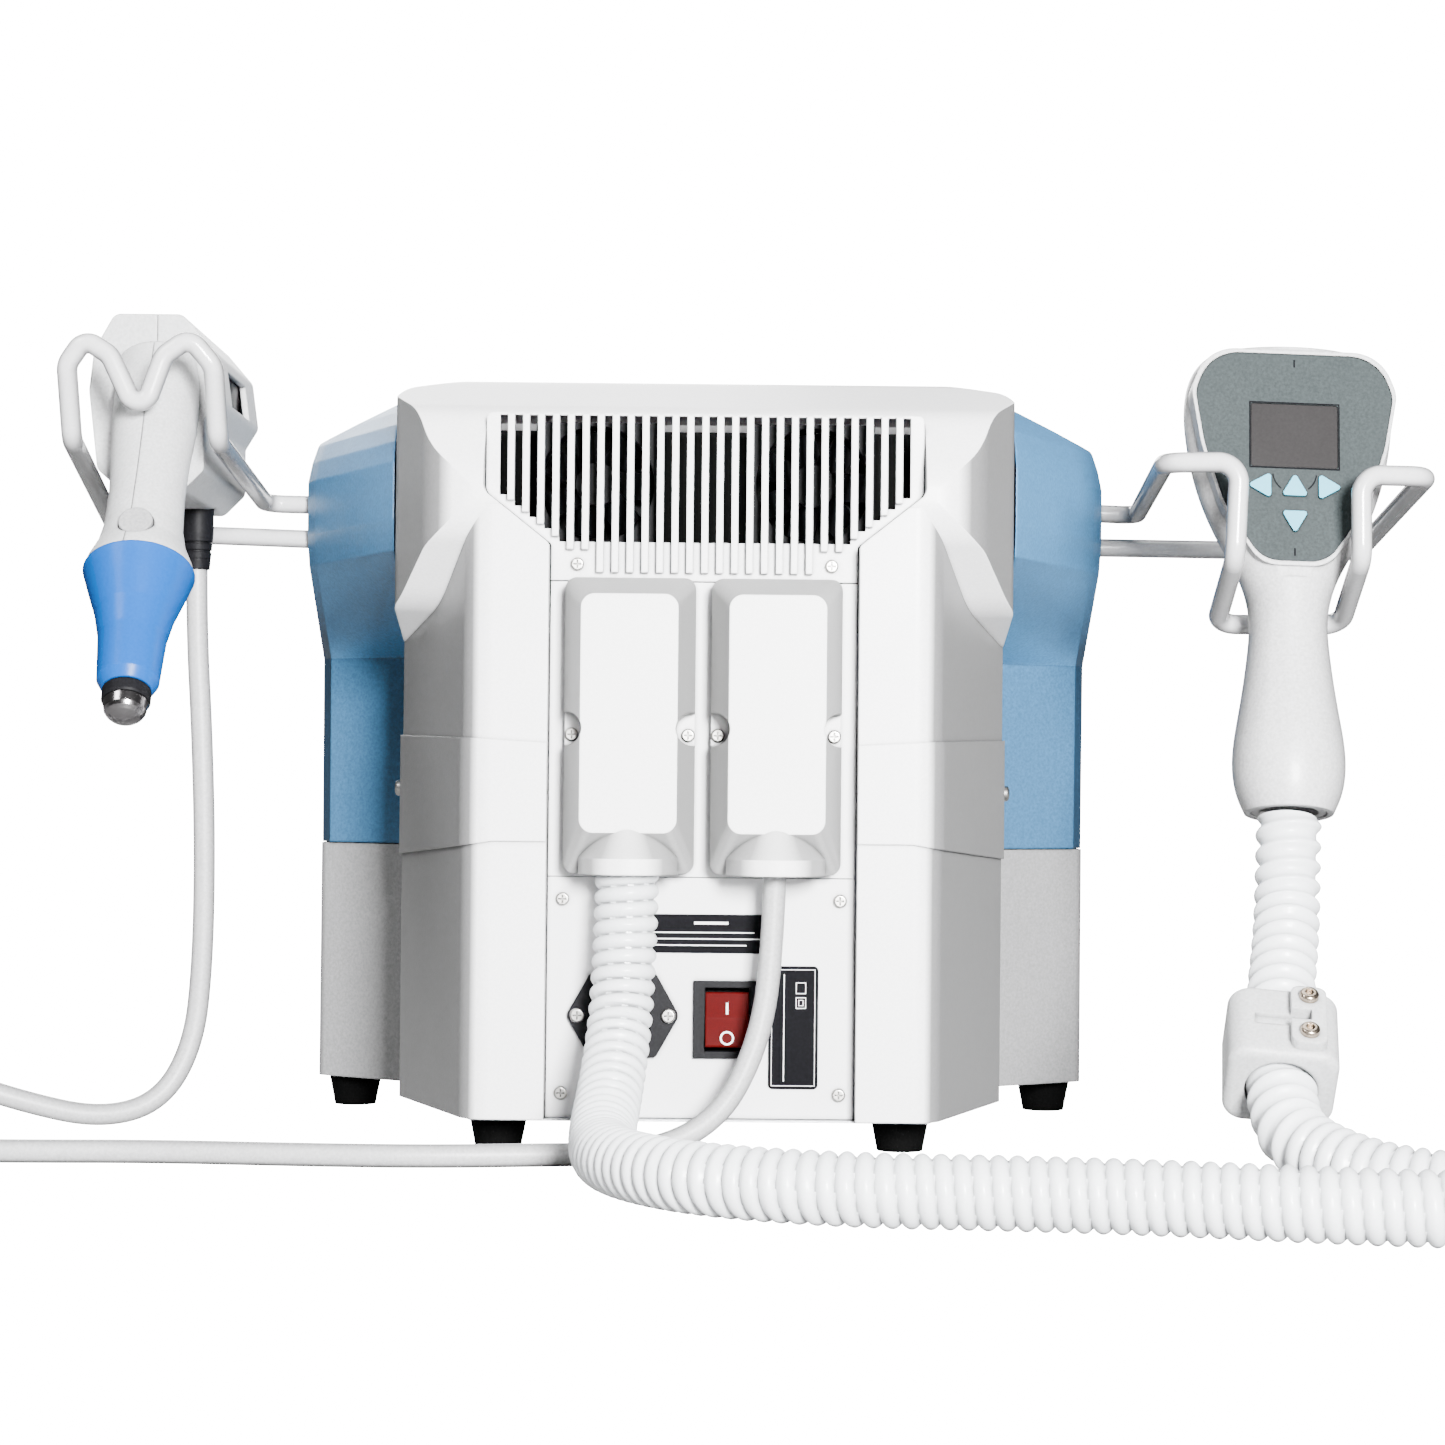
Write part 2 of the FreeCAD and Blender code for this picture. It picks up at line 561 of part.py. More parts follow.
def applicator_shells():
    body, neck = applicator_solid()
    y0, y1 = APPLICATOR_Y
    middle_x = sum(x for x, z in APPLICATOR_BODY) / len(APPLICATOR_BODY)
    middle_z = sum(z for x, z in APPLICATOR_BODY) / len(APPLICATOR_BODY)
    small = [(middle_x + (x - middle_x) * 0.9, middle_z + (z - middle_z) * 0.93) for x, z in APPLICATOR_BODY]
    hollow = prism_y(small, y0 + 3, y1 - 3, [4, 4, 4, 4, 2, 3, 4, 4, 4, 6, 5])
    bore = lathe_here([(0, 70), (13.0, 70), (13.0, 165), (0, 165)])
    whole = body.fuse(neck).cut(hollow).cut(bore)
    whole = whole.cut(placed(rod(Vector(0, 0, BUTTON_SPOT), -FORWARD, 7.8, 40), TIP, TIP_UP))
    whole = whole.cut(block(-223, -210, -70, -15, 333, 349))
    whole = whole.cut(rod(Vector(-239.3, -20, 280), UP, 7.9, 20))
    split = -243.0
    left = whole.common(block(-300, split - 0.15, -260, 60, 150, 400))
    right = whole.common(block(split + 0.15, -190, -260, 60, 150, 400))
    return left, right


def applicator_sleeve():
    outside = [(9.9, 15), (10.6, 15.5), (13.0, 20), (13.6, 30), (14.4, 42), (16.8, 54), (20.6, 66), (23.6, 76)]
    inside = [(20.8, 76), (17.8, 66), (14.0, 54), (11.6, 42), (10.9, 30), (9.9, 20), (9.9, 15)]
    return lathe_here(outside + inside)


def applicator_collar():
    return lathe_here([(0, 9), (9.7, 9), (10.2, 10), (10.2, 14.6), (9.6, 14.9), (9.6, 34), (0, 34)])


def applicator_tip():
    angles = [math.pi / 2 * i / 6 for i in range(6, -1, -1)]
    dome = [(9.0 * math.cos(a), 6.5 - 6.5 * math.sin(a)) for a in angles]
    dome[0] = (0, dome[0][1])
    return lathe_here(dome + [(9.4, 8.9), (0, 8.9)])


def applicator_button():
    """Oval-looking push cap on the near side of the neck."""
    cap = rod(Vector(0, -19.6, BUTTON_SPOT), FORWARD, 7.3, 5)
    return placed(fillet(cap, 1.0, lambda e: e.Closed and e.CenterOfMass.y < -19), TIP, TIP_UP)


def transducer():
    return lathe_here([(0, 92), (11.0, 92), (11.0, 98), (8.0, 98), (8.0, 150), (0, 150)])


def applicator_relief():
    body = rod(Vector(-239.3, -20, 279), UP, 7.6, 18)
    taper = cone(Vector(-239.3, -20, 262), UP, 6.0, 7.6, 17)
    grooves = [rod(Vector(-239.3, -20, z), UP, 9, 1.0).cut(rod(Vector(-239.3, -20, z - 1), UP, 6.3, 3))
               for z in (266, 270, 274)]
    return body.fuse(taper).cut(Part.makeCompound(grooves))


# ---- right hand unit ------------------------------------------------------------------
GRIP = Vector(251, -160, 153)
GRIP_UP = Vector(5, 36, 158)
FACE_DEPTH = -16.5
GRIP_SECTIONS = [
    (0, 19, 18.5), (7, 22, 20.5), (20, 24.2, 22), (44, 21.5, 20), (70, 17.8, 17.4), (88, 17.2, 17),
    (104, 21.5, 17.5), (122, 31, 18.5), (142, 39.5, 19), (164, 44.5, 19.5), (184, 45.5, 19.5),
    (199, 41, 18.5), (206, 33, 16.5)]


def grip_solid(inset=0.0, low=0.0, high=0.0):
    sections = [oval(a - inset, b - inset + 0.01, z) for z, a, b in GRIP_SECTIONS if z >= low]
    solid = Part.makeLoft(sections[:-1] if high else sections, True, False)
    level = FACE_DEPTH + inset
    return solid.cut(block(-60, 60, -40, level, 101, 230))


FACE_OUTLINE = [
    (-14, 108), (14, 108), (30, 132), (39, 160), (43, 184), (36, 202), (-36, 202), (-43, 184), (-39, 160),
    (-30, 132)]
FACE_RADII = [14, 14, 40, 60, 14, 18, 18, 14, 60, 40]
FACE_RIM = 1.045           # growth of the raised rim round the face panel
TRIANGLES = {
    "button_up": (0, 140.6, 90),
    "button_down": (0, 126.8, 270),
    "button_left": (-13.8, 141.5, 180),
    "button_right": (13.8, 141.5, 0),
}


def shrunk(outline, by):
    middle_x = sum(x for x, z in outline) / len(outline)
    middle_z = sum(z for x, z in outline) / len(outline)
    return [(middle_x + (x - middle_x) * by, middle_z + (z - middle_z) * by) for x, z in outline]


def triangle(spot, grow, y0, y1):
    x, z, turn = spot
    reach = 6.9 + grow
    points = []
    for step in (0, 120, 240):
        angle = math.radians(turn + step)
        points.append((x + reach * math.cos(angle), z + reach * math.sin(angle)))
    return prism_y(points, y0, y1, 1.2 + grow * 0.4)


def grip_shells():
    rim = prism_y(shrunk(FACE_OUTLINE, FACE_RIM), FACE_DEPTH - 0.9, -5.0, FACE_RADII)
    whole = grip_solid().fuse(rim).cut(grip_solid(2.6, 5, 1))
    whole = whole.cut(rod(Vector(0, 0, -1), UP, 16.3, 8))
    pocket = prism_y(shrunk(FACE_OUTLINE, 1.006), FACE_DEPTH - 1, FACE_DEPTH + 1.2, FACE_RADII)
    whole = whole.cut(pocket)
    whole = whole.cut(prism_y(shrunk(FACE_OUTLINE, 0.86), FACE_DEPTH - 1, FACE_DEPTH + 4, 8))
    near = whole.common(block(-60, 60, -40, 2.9, -5, 230))
    far = whole.common(block(-60, 60, 3.1, 40, -5, 230))
    return placed(near, GRIP, GRIP_UP), placed(far, GRIP, GRIP_UP)


def face_panel():
    plate = prism_y(FACE_OUTLINE, FACE_DEPTH - 0.6, FACE_DEPTH + 1.1, FACE_RADII)
    for spot in TRIANGLES.values():
        plate = plate.cut(triangle(spot, 0.45, FACE_DEPTH - 3, FACE_DEPTH + 3))
    window = [(-19, 150.2), (19, 150.2), (19, 179.2), (-19, 179.2)]
    plate = plate.cut(prism_y(window, FACE_DEPTH - 3, FACE_DEPTH + 0.3, 1))
    return placed(plate, GRIP, GRIP_UP)


def face_display():
    outline = [(-18.8, 150.4), (18.8, 150.4), (18.8, 179.0), (-18.8, 179.0)]
    plate = prism_y(outline, FACE_DEPTH - 0.35, FACE_DEPTH + 0.28, 1)
    return placed(plate, GRIP, GRIP_UP)


def face_button(spot):
    return placed(triangle(spot, 0.0, FACE_DEPTH - 1.7, FACE_DEPTH + 2.2), GRIP, GRIP_UP)


def hose_socket():
    ring = rod(Vector(0, 0, 0.6), UP, 16.0, 6.2).cut(rod(Vector(0, 0, -2), UP, HOSE_R - 1.5, 20))
    return placed(ring, GRIP, GRIP_UP)


# ---- hose clamp ---------------------------------------------------------------------
CLAMP_A = (236.0, -222.0, 73.0)
CLAMP_B = (229.0, -266.0, 40.0)


def clamp_frame(shape):
    a, b = Vector(*CLAMP_A), Vector(*CLAMP_B)
    return placed(shape, (a + b) * 0.5, a - b)


def hose_clamp():
    body = block(-22, 22, -19.5, 19, -20, 20)
    body = fillet(body, 9, lambda e: along(e, UP))
    body = fillet(body, 3.5, lambda e: abs(abs(e.CenterOfMass.z) - 20) < 1e-3)
    pad = fillet(block(2, 16, -23.5, -15, -17, 17), 4, lambda e: along(e, FORWARD))
    body = body.fuse(pad).cut(rod(Vector(0, 0, -25), UP, HOSE_R + 0.3, 50))
    return clamp_frame(body.cut(block(-12, 10, -30, -17.5, -3, 3)))


def clamp_screws():
    pieces = []
    turns = [k * math.pi / 3 for k in (0, 1, 2, 3, 4, 5, 0)]
    for z in (-10.5, 10.5):
        head = rod(Vector(9, -26.3, z), FORWARD, 3.9, 2.7)
        head = fillet(head, 1.5, lambda e: e.Closed and e.CenterOfMass.y < -26)
        hexagon = [Vector(9 + 1.9 * math.cos(a), -27, z + 1.9 * math.sin(a)) for a in turns]
        socket = Part.Face(Part.makePolygon(hexagon)).extrude(FORWARD * 2.2)
        pieces.append(clamp_frame(head.cut(socket)))
    return pieces


# ---- hose and cable --------------------------------------------------------------------
# Each route starts at its exit.  Floor points lie one radius above the table.
HOSE_FLOOR = 14.6
CABLE_FLOOR = 5.4
HOSE_LOOP = (510.0, -245.0, 140.0)     # middle x, middle y, radius of the stored turn
CABLE_LOOP = (-380.0, -112.0, 57.0)
HOSE_OUT = [
    (-32, -140, 131.9), (-33, -141.5, 74), (-37, -168, 36), (-41, -214, HOSE_FLOOR), (-34, -268, HOSE_FLOOR),
    (-2, -318, HOSE_FLOOR), (52, -345, HOSE_FLOOR), (112, -350, HOSE_FLOOR), (172, -360, HOSE_FLOOR),
    (232, -378, HOSE_FLOOR), (294, -388, HOSE_FLOOR), (352, -383, HOSE_FLOOR), (412, -386, HOSE_FLOOR),
    (462, -385, HOSE_FLOOR), (510, -385, HOSE_FLOOR)]
HOSE_IN = [
    (370, -245, HOSE_FLOOR), (370, -284, HOSE_FLOOR), (346, -324, HOSE_FLOOR), (300, -338, HOSE_FLOOR),
    (257, -322, 16.5), (231, -288, 26), CLAMP_B, CLAMP_A, (245, -188, 101), (248.8, -170, 122),
    (250.9, -160.5, 150.9)]
CABLE_OUT = [
    (32, -140, 131.9), (31, -141, 84), (24, -145, 48), (8, -152, 19), (-22, -159, CABLE_FLOOR),
    (-66, -167, CABLE_FLOOR), (-116, -176, CABLE_FLOOR), (-172, -173, CABLE_FLOOR), (-230, -166, CABLE_FLOOR),
    (-288, -170, CABLE_FLOOR), (-336, -169, CABLE_FLOOR), (-380, -169, CABLE_FLOOR)]
CABLE_IN = [
    (-380, -55, 25.8), (-345, -55, 25.6), (-312, -50, 14), (-278, -40, CABLE_FLOOR), (-252, -29, 12),
    (-238, -21, 38), (-234.5, -19, 76), (-234, -19.5, 130), (-236, -20, 186), (-239, -20, 232),
    (-239.3, -20, 261.9)]


def free_run(name, points, radius):
    """Tube along a route whose arcs are as large as its runs allow."""
    spots = [Vector(*p) for p in points]
    radii = []

    def bend(i):
        back, ahead = spots[i - 1] - spots[i], spots[i + 1] - spots[i]
        turn = math.pi - back.getAngle(ahead)
        radii.append(round(0.45 * min(back.Length, ahead.Length) / math.tan(turn / 2)))
        return 0.45 * min(back.Length, ahead.Length) / math.tan(turn / 2)

    path = bent_wire(points, bend)
    solid = tube(path, radius)
    share = solid.Volume / (math.pi * radius ** 2 * path.Length)
    print(name, "length", round(path.Length), "volume share", round(share, 3), "radii", radii)
    return solid


def hose_coil():
    """Three quarters of a turn, lying on the table."""
    x, y, radius = HOSE_LOOP
    ring = Part.makeTorus(radius, HOSE_R, Vector(x, y, HOSE_FLOOR), UP, -180, 180, 270)
    ring.rotate(Vector(x, y, 0), UP, -90)
    return ring


def cable_coil():
    x, y, radius = CABLE_LOOP
    outer = rod(Vector(x, y, 0.3), UP, radius + CABLE_R + 0.4, 30.6)
    return outer.cut(rod(Vector(x, y, -1), UP, radius - CABLE_R - 0.4, 40))


# ---- build ----------------------------------------------------------------------
os.makedirs("parts", exist_ok=True)
cover = column_cover()
band = column_band()
side = side_shell()
save("head_shell", head_shell())
save("column_cover_right", cover)
save("column_cover_left", mirrored(cover))
save("column_band_right", band)
save("column_band_left", mirrored(band))
save("side_shell_right", side)
save("side_shell_left", mirrored(side))
save("lower_housing", lower_housing())
save("lower_rear_panel", lower_rear_panel())
save("connector_panel", connector_panel())
save("vent_grille", vent_grille())
save("connector_housing_left", connector_housing(-CONNECTOR_X))
save("connector_housing_right", connector_housing(CONNECTOR_X))
save("cord_glands", cord_gland(-CONNECTOR_X, HOSE_R), cord_gland(CONNECTOR_X, CABLE_R))
panel_spots = [Vector(x, PANEL_Y - 0.02, z) for x, z in SCREW_SPOTS + GRILLE_SCREWS]
pocket_spots = [
    Vector(x + s * 25.5, PANEL_Y - 8.02, 184.5) for x in (-CONNECTOR_X, CONNECTOR_X) for s in (-1, 1)]
save("cross_head_screws", *[cross_screw(spot) for spot in panel_spots + pocket_spots])
save("inlet_body", inlet_body())
save("inlet_pins", *inlet_pins())
inlet_x, inlet_z = INLET_CENTRE
save("inlet_screws", *[cross_screw(Vector(inlet_x + s * 20, PANEL_Y - 3.02, inlet_z), 3.2) for s in (-1, 1)])
save("switch_frame", switch_frame())
save("switch_rocker", switch_rocker())
save("label_plates", *label_plates())
save("base_plate", base_plate())
save("feet", *feet())
save("front_bezel", front_bezel())
save("touch_screen", block(-111.8, 111.8, FRONT_Y + 4.02, FRONT_Y + 6.5, 150.2, 315.8))
save("chassis", chassis())
save("power_supply", power_supply())
save("circuit_boards", *circuit_boards())
save("heat_sink", heat_sink())
save("fan_frames", fan_frame(-FAN_X), fan_frame(FAN_X))
save("fan_rotor_left", fan_rotor(-FAN_X))
save("fan_rotor_right", fan_rotor(FAN_X))
save("holder_left", holder(HOLDER_LEFT))
save("holder_right", holder(HOLDER_RIGHT))
left_half, right_half = applicator_shells()
save("applicator_shell_left", left_half)
save("applicator_shell_right", right_half)
save("applicator_sleeve", applicator_sleeve())
save("applicator_collar", applicator_collar())
save("applicator_tip", applicator_tip())
save("applicator_button", applicator_button())
save("applicator_display", block(-222.9, -221.6, -69.7, -15.3, 333.3, 348.7))
save("applicator_relief", applicator_relief())
save("transducer", transducer())
near_half, far_half = grip_shells()
save("handset_front_shell", near_half)
save("handset_back_shell", far_half)
save("handset_face_panel", face_panel())
save("handset_display", face_display())
for button_name, button_spot in TRIANGLES.items():
    save(button_name, face_button(button_spot))
save("hose_socket", hose_socket())
save("hose_clamp", hose_clamp())
save("clamp_screws", *clamp_screws())
save("hose_run_console", free_run("hose out", HOSE_OUT, HOSE_R))
save("hose_coil", hose_coil())
save("hose_run_handset", free_run("hose in", HOSE_IN, HOSE_R))
save("cable_run_console", free_run("cable out", CABLE_OUT, CABLE_R))
save("cable_coil", cable_coil())
save("cable_run_applicator", free_run("cable in", CABLE_IN, CABLE_R))
print(len(made), "sub-parts")
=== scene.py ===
import json
import math
import bmesh
import bpy
from mathutils import Matrix, Vector


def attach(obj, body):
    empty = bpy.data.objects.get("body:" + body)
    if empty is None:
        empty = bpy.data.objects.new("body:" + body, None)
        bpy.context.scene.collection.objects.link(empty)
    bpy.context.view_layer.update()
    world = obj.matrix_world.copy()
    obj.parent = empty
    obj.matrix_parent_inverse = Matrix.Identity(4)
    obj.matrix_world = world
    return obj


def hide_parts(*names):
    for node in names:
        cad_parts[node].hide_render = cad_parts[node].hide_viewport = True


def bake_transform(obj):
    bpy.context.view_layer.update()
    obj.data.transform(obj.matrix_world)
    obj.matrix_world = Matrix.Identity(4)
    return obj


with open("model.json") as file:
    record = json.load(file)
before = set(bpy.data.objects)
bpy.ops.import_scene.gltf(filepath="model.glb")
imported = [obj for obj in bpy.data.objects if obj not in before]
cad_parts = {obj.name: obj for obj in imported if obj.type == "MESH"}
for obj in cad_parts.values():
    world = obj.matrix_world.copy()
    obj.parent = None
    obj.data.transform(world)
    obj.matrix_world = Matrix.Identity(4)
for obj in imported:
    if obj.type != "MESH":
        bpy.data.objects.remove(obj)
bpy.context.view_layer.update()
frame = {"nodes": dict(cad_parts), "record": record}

MM = 0.001
nodes = frame["nodes"]
# a colour Mix node's sockets, which Blender tells apart only by number
MIX_SHARE, MIX_A, MIX_B, MIX_RESULT = 0, 6, 7, 2


# ---- camera, floor and light -----------------------------------------------------
CAMERA_AT = Vector((0.0, -1.52, 0.1656))
LENS_MM = 79.25
SENSOR_MM = 36.0
YAW_DEG, PITCH_DEG, ROLL_DEG = -0.351, 1.018, 0.55
NEAR_CLIP = 0.02
FLOOR_HALF = 7.0
SKY_STRENGTH = 0.11         # light that reaches the object from all sides
BACKDROP_STRENGTH = 22.0    # plain white behind the object, for the camera only
PAPER_GREY = 0.22           # what the lamps see of the floor
PAPER_GLOW = 24.0           # what the camera sees of it instead
PAPER_GLOW_SHARE = 0.85
# name, place, target, size and power in watts
LIGHTS = (
    ("key_light", (0.5, -2.3, 0.62), (0, 0, 0.2), (0.5, 0.5), 340),
    ("fill_left", (-1.3, -1.2, 1.5), (0, 0, 0.25), (0.6, 0.6), 30),
    ("top_soft", (0.0, 0.1, 1.9), (0, 0, 0.2), (1.4, 1.0), 22),
    ("front_fill", (-0.6, 2.2, 1.2), (0, 0, 0.2), (1.4, 1.0), 60),
)


def add_camera():
    data = bpy.data.cameras.new("camera")
    data.lens = LENS_MM
    data.sensor_width = SENSOR_MM
    data.clip_start = NEAR_CLIP
    camera = bpy.data.objects.new("camera", data)
    bpy.context.scene.collection.objects.link(camera)
    heading = Matrix.Rotation(math.radians(YAW_DEG), 4, "Z")
    level = Matrix.Rotation(math.radians(90 + PITCH_DEG), 4, "X")
    roll = Matrix.Rotation(math.radians(ROLL_DEG), 4, "Z")
    camera.matrix_world = Matrix.Translation(CAMERA_AT) @ (heading @ level) @ roll
    bpy.context.scene.camera = camera


def add_area(name, place, target, size, power):
    data = bpy.data.lights.new(name, "AREA")
    data.shape = "RECTANGLE"
    data.size, data.size_y = size
    data.energy = power
    light = bpy.data.objects.new(name, data)
    bpy.context.scene.collection.objects.link(light)
    light.location = place
    light.rotation_euler = (Vector(target) - Vector(place)).to_track_quat("-Z", "Y").to_euler()


def add_studio():
    mesh = bpy.data.meshes.new("floor")
    shape = bmesh.new()
    rim = [(x * FLOOR_HALF, y * FLOOR_HALF) for x, y in ((-1, -1), (1, -1), (1, 1), (-1, 1))]
    shape.faces.new([shape.verts.new((x, y, 0.0)) for x, y in rim])
    shape.to_mesh(mesh)
    shape.free()
    floor = bpy.data.objects.new("floor", mesh)
    bpy.context.scene.collection.objects.link(floor)
    mesh.materials.append(plain_floor())
    world = bpy.data.worlds.new("studio")
    world.use_nodes = True
    tree = world.node_tree
    sky = tree.nodes["Background"]
    sky.inputs["Color"].default_value = (1.0, 1.0, 1.0, 1.0)
    sky.inputs["Strength"].default_value = SKY_STRENGTH
    backdrop = add_node(tree, "ShaderNodeBackground", Strength=BACKDROP_STRENGTH)
    chooser = add_node(tree, "ShaderNodeMixShader")
    seen = add_node(tree, "ShaderNodeLightPath")
    tree.links.new(seen.outputs["Is Camera Ray"], chooser.inputs[0])
    tree.links.new(sky.outputs[0], chooser.inputs[1])
    tree.links.new(backdrop.outputs[0], chooser.inputs[2])
    tree.links.new(chooser.outputs[0], tree.nodes["World Output"].inputs["Surface"])
    bpy.context.scene.world = world
    for light in LIGHTS:
        add_area(*light)


# ---- materials -----------------------------------------------------------------
def add_node(tree, kind, **settings):
    """New shader node. A setting is put on the input of that name, or else on the node itself."""
    node = tree.nodes.new(kind)
    for key, value in settings.items():
        if key in node.inputs:
            node.inputs[key].default_value = value
        else:
            setattr(node, key, value)
    return node


def plain_floor():
    """White sheet: grey paper to the lamps, mostly an even white where the camera looks straight at it."""
    material = bpy.data.materials.new("floor_paper")
    material.use_nodes = True
    tree = material.node_tree
    shader = tree.nodes["Principled BSDF"]
    shader.inputs["Base Color"].default_value = (PAPER_GREY, PAPER_GREY, PAPER_GREY, 1)
    shader.inputs["Roughness"].default_value = 0.8
    bright = add_node(tree, "ShaderNodeEmission", Strength=PAPER_GLOW)
    seen = add_node(tree, "ShaderNodeLightPath")
    share = add_node(tree, "ShaderNodeMath", operation="MULTIPLY")
    share.inputs[1].default_value = PAPER_GLOW_SHARE
    chooser = add_node(tree, "ShaderNodeMixShader")
    tree.links.new(seen.outputs["Is Camera Ray"], share.inputs[0])
    tree.links.new(share.outputs[0], chooser.inputs[0])
    tree.links.new(shader.outputs[0], chooser.inputs[1])
    tree.links.new(bright.outputs[0], chooser.inputs[2])
    tree.links.new(chooser.outputs[0], tree.nodes["Material Output"].inputs["Surface"])
    return material


def ranged(tree, value, start, end, low=0.0, high=1.0):
    """A value's range from start to end carried over to low to high, and held there beyond it."""
    node = add_node(tree, "ShaderNodeMapRange")
    node.inputs["From Min"].default_value = start
    node.inputs["From Max"].default_value = end
    node.inputs["To Min"].default_value = low
    node.inputs["To Max"].default_value = high
    tree.links.new(value, node.inputs["Value"])
    return node.outputs["Result"]


def darkened(tree, colour, grey, share):
    """A colour multiplied by a grey, as far as the share says."""
    blend = add_node(tree, "ShaderNodeMix", data_type="RGBA", blend_type="MULTIPLY")
    blend.inputs[MIX_B].default_value = (grey, grey, grey, 1)
    tree.links.new(share, blend.inputs[MIX_SHARE])
    tree.links.new(colour, blend.inputs[MIX_A])
    return blend.outputs[MIX_RESULT]


def shade_by_tilt(tree, place, colour, grey, bands):
    """Slanting faces are darkened where all the bands say so.

    A band is an axis of the normal, or the height, with the size where it starts and where it is full.
    """
    normal = add_node(tree, "ShaderNodeSeparateXYZ")
    tree.links.new(place.outputs["Normal"], normal.inputs[0])
    spot = add_node(tree, "ShaderNodeSeparateXYZ")
    tree.links.new(place.outputs["Object"], spot.inputs[0])
    mask = None
    for axis, start, end in bands:
        size = add_node(tree, "ShaderNodeMath", operation="ABSOLUTE")
        source = spot.outputs["Z"] if axis == "height" else normal.outputs[axis]
        tree.links.new(source, size.inputs[0])
        band = ranged(tree, size.outputs[0], start, end)
        if mask is None:
            mask = band
            continue
        both = add_node(tree, "ShaderNodeMath", operation="MULTIPLY")
        tree.links.new(mask, both.inputs[0])
        tree.links.new(band, both.inputs[1])
        mask = both.outputs[0]
    return darkened(tree, colour, grey, mask)


# bands for shade_by_tilt
SIDEWAYS = (("X", 0.38, 0.62), ("Z", 0.30, 0.06))
BEVELLED = (("Y", 0.93, 0.70),)
ROUNDED = (("Y", 0.90, 0.35),)
LOW_SIDES = (("X", 0.38, 0.62), ("height", 0.262, 0.232))

CREVICE_REACH = 0.0025
CREVICE_OPENNESS = (0.35, 0.9)      # painted shade full at the first, none from the second
# grey of the painted shade in crevices
CREVICE_SHADE_GREY = 0.10


def painted_crevice_shade(tree, colour, amount):
    """Painted shade in grooves, recesses and screw slots: darker where other faces stand close by."""
    near = add_node(tree, "ShaderNodeAmbientOcclusion", samples=6, Distance=CREVICE_REACH)
    return darkened(tree, colour, CREVICE_SHADE_GREY, ranged(tree, near.outputs["AO"], *CREVICE_OPENNESS, amount, 0.0))


BRUSHED = (1, 1, 14)                # grain drawn out along the brushing
GRAINS_PER_SIZE = 2.2
NOISE_ROUGHNESS = 0.6
FINE_DETAIL = 2.0
DRIFT_SCALE, DRIFT_DETAIL = 22.0, 4.0


def grain_noise(tree, place, grain_size, streak):
    """Two noises over the piece: one as fine as its grain, and a slow uneven drift."""
    stretch = add_node(tree, "ShaderNodeMapping", Scale=BRUSHED if streak else (1, 1, 1))
    tree.links.new(place.outputs["Object"], stretch.inputs["Vector"])
    noises = []
    for scale, detail in ((1.0 / grain_size / GRAINS_PER_SIZE, FINE_DETAIL), (DRIFT_SCALE, DRIFT_DETAIL)):
        texture = add_node(tree, "ShaderNodeTexNoise", Scale=scale, Detail=detail, Roughness=NOISE_ROUGHNESS)
        tree.links.new(stretch.outputs["Vector"], texture.inputs["Vector"])
        noises.append(texture.outputs["Fac"])
    return noises


SPECKLE_RAMP = (0.32, 0.68)
DRIFT_GREY, DRIFT_SHARE = 0.93, 0.5


def speckled(tree, colour, speckle, fine, broad):
    """The colour with a fine speckle over a slow drift."""
    ramp = add_node(tree, "ShaderNodeValToRGB")
    low, high = ramp.color_ramp.elements
    low.position, high.position = SPECKLE_RAMP
    low.color = tuple(c * (1 - speckle) for c in colour) + (1,)
    high.color = tuple(min(1, c * (1 + speckle)) for c in colour) + (1,)
    tree.links.new(fine, ramp.inputs["Fac"])
    shade = add_node(tree, "ShaderNodeValToRGB")
    shade.color_ramp.elements[0].color = (DRIFT_GREY, DRIFT_GREY, DRIFT_GREY, 1)
    shade.color_ramp.elements[1].color = (1, 1, 1, 1)
    tree.links.new(broad, shade.inputs["Fac"])
    drift = add_node(tree, "ShaderNodeMix", data_type="RGBA", blend_type="MULTIPLY")
    drift.inputs[MIX_SHARE].default_value = DRIFT_SHARE
    tree.links.new(ramp.outputs["Color"], drift.inputs[MIX_A])
    tree.links.new(shade.outputs["Color"], drift.inputs[MIX_B])
    return drift.outputs[MIX_RESULT]


WORN_RAMP = (0.53, 0.62)            # pointiness where wear starts and where it is full
WORN_GAIN, WORN_LIFT = 1.2, 0.01


def worn_edges(tree, tint, colour, wear):
    """Edges rubbed a little lighter than the colour."""
    edge = add_node(tree, "ShaderNodeNewGeometry")
    ramp = add_node(tree, "ShaderNodeValToRGB")
    for stop, position in zip(ramp.color_ramp.elements, WORN_RAMP):
        stop.position = position
    tree.links.new(edge.outputs["Pointiness"], ramp.inputs["Fac"])
    amount = add_node(tree, "ShaderNodeMath", operation="MULTIPLY")
    amount.inputs[1].default_value = wear
    tree.links.new(ramp.outputs["Color"], amount.inputs[0])
    worn = add_node(tree, "ShaderNodeMix", data_type="RGBA")
    worn.inputs[MIX_B].default_value = tuple(min(1.0, c * WORN_GAIN + WORN_LIFT) for c in colour) + (1,)
    tree.links.new(amount.outputs[0], worn.inputs[MIX_SHARE])
    tree.links.new(tint, worn.inputs[MIX_A])
    return worn.outputs[MIX_RESULT]


GRAIN_DEPTH = 0.00015


def grained_normal(tree, fine, grain, soften):
    """Softened edges with the grain's bump on top."""
    soft = add_node(tree, "ShaderNodeBevel", samples=4)
    soft.inputs["Radius"].default_value = soften
    bump = add_node(tree, "ShaderNodeBump")
    bump.inputs["Strength"].default_value = grain
    bump.inputs["Distance"].default_value = GRAIN_DEPTH
    tree.links.new(fine, bump.inputs["Height"])
    tree.links.new(soft.outputs["Normal"], bump.inputs["Normal"])
    return bump.outputs["Normal"]


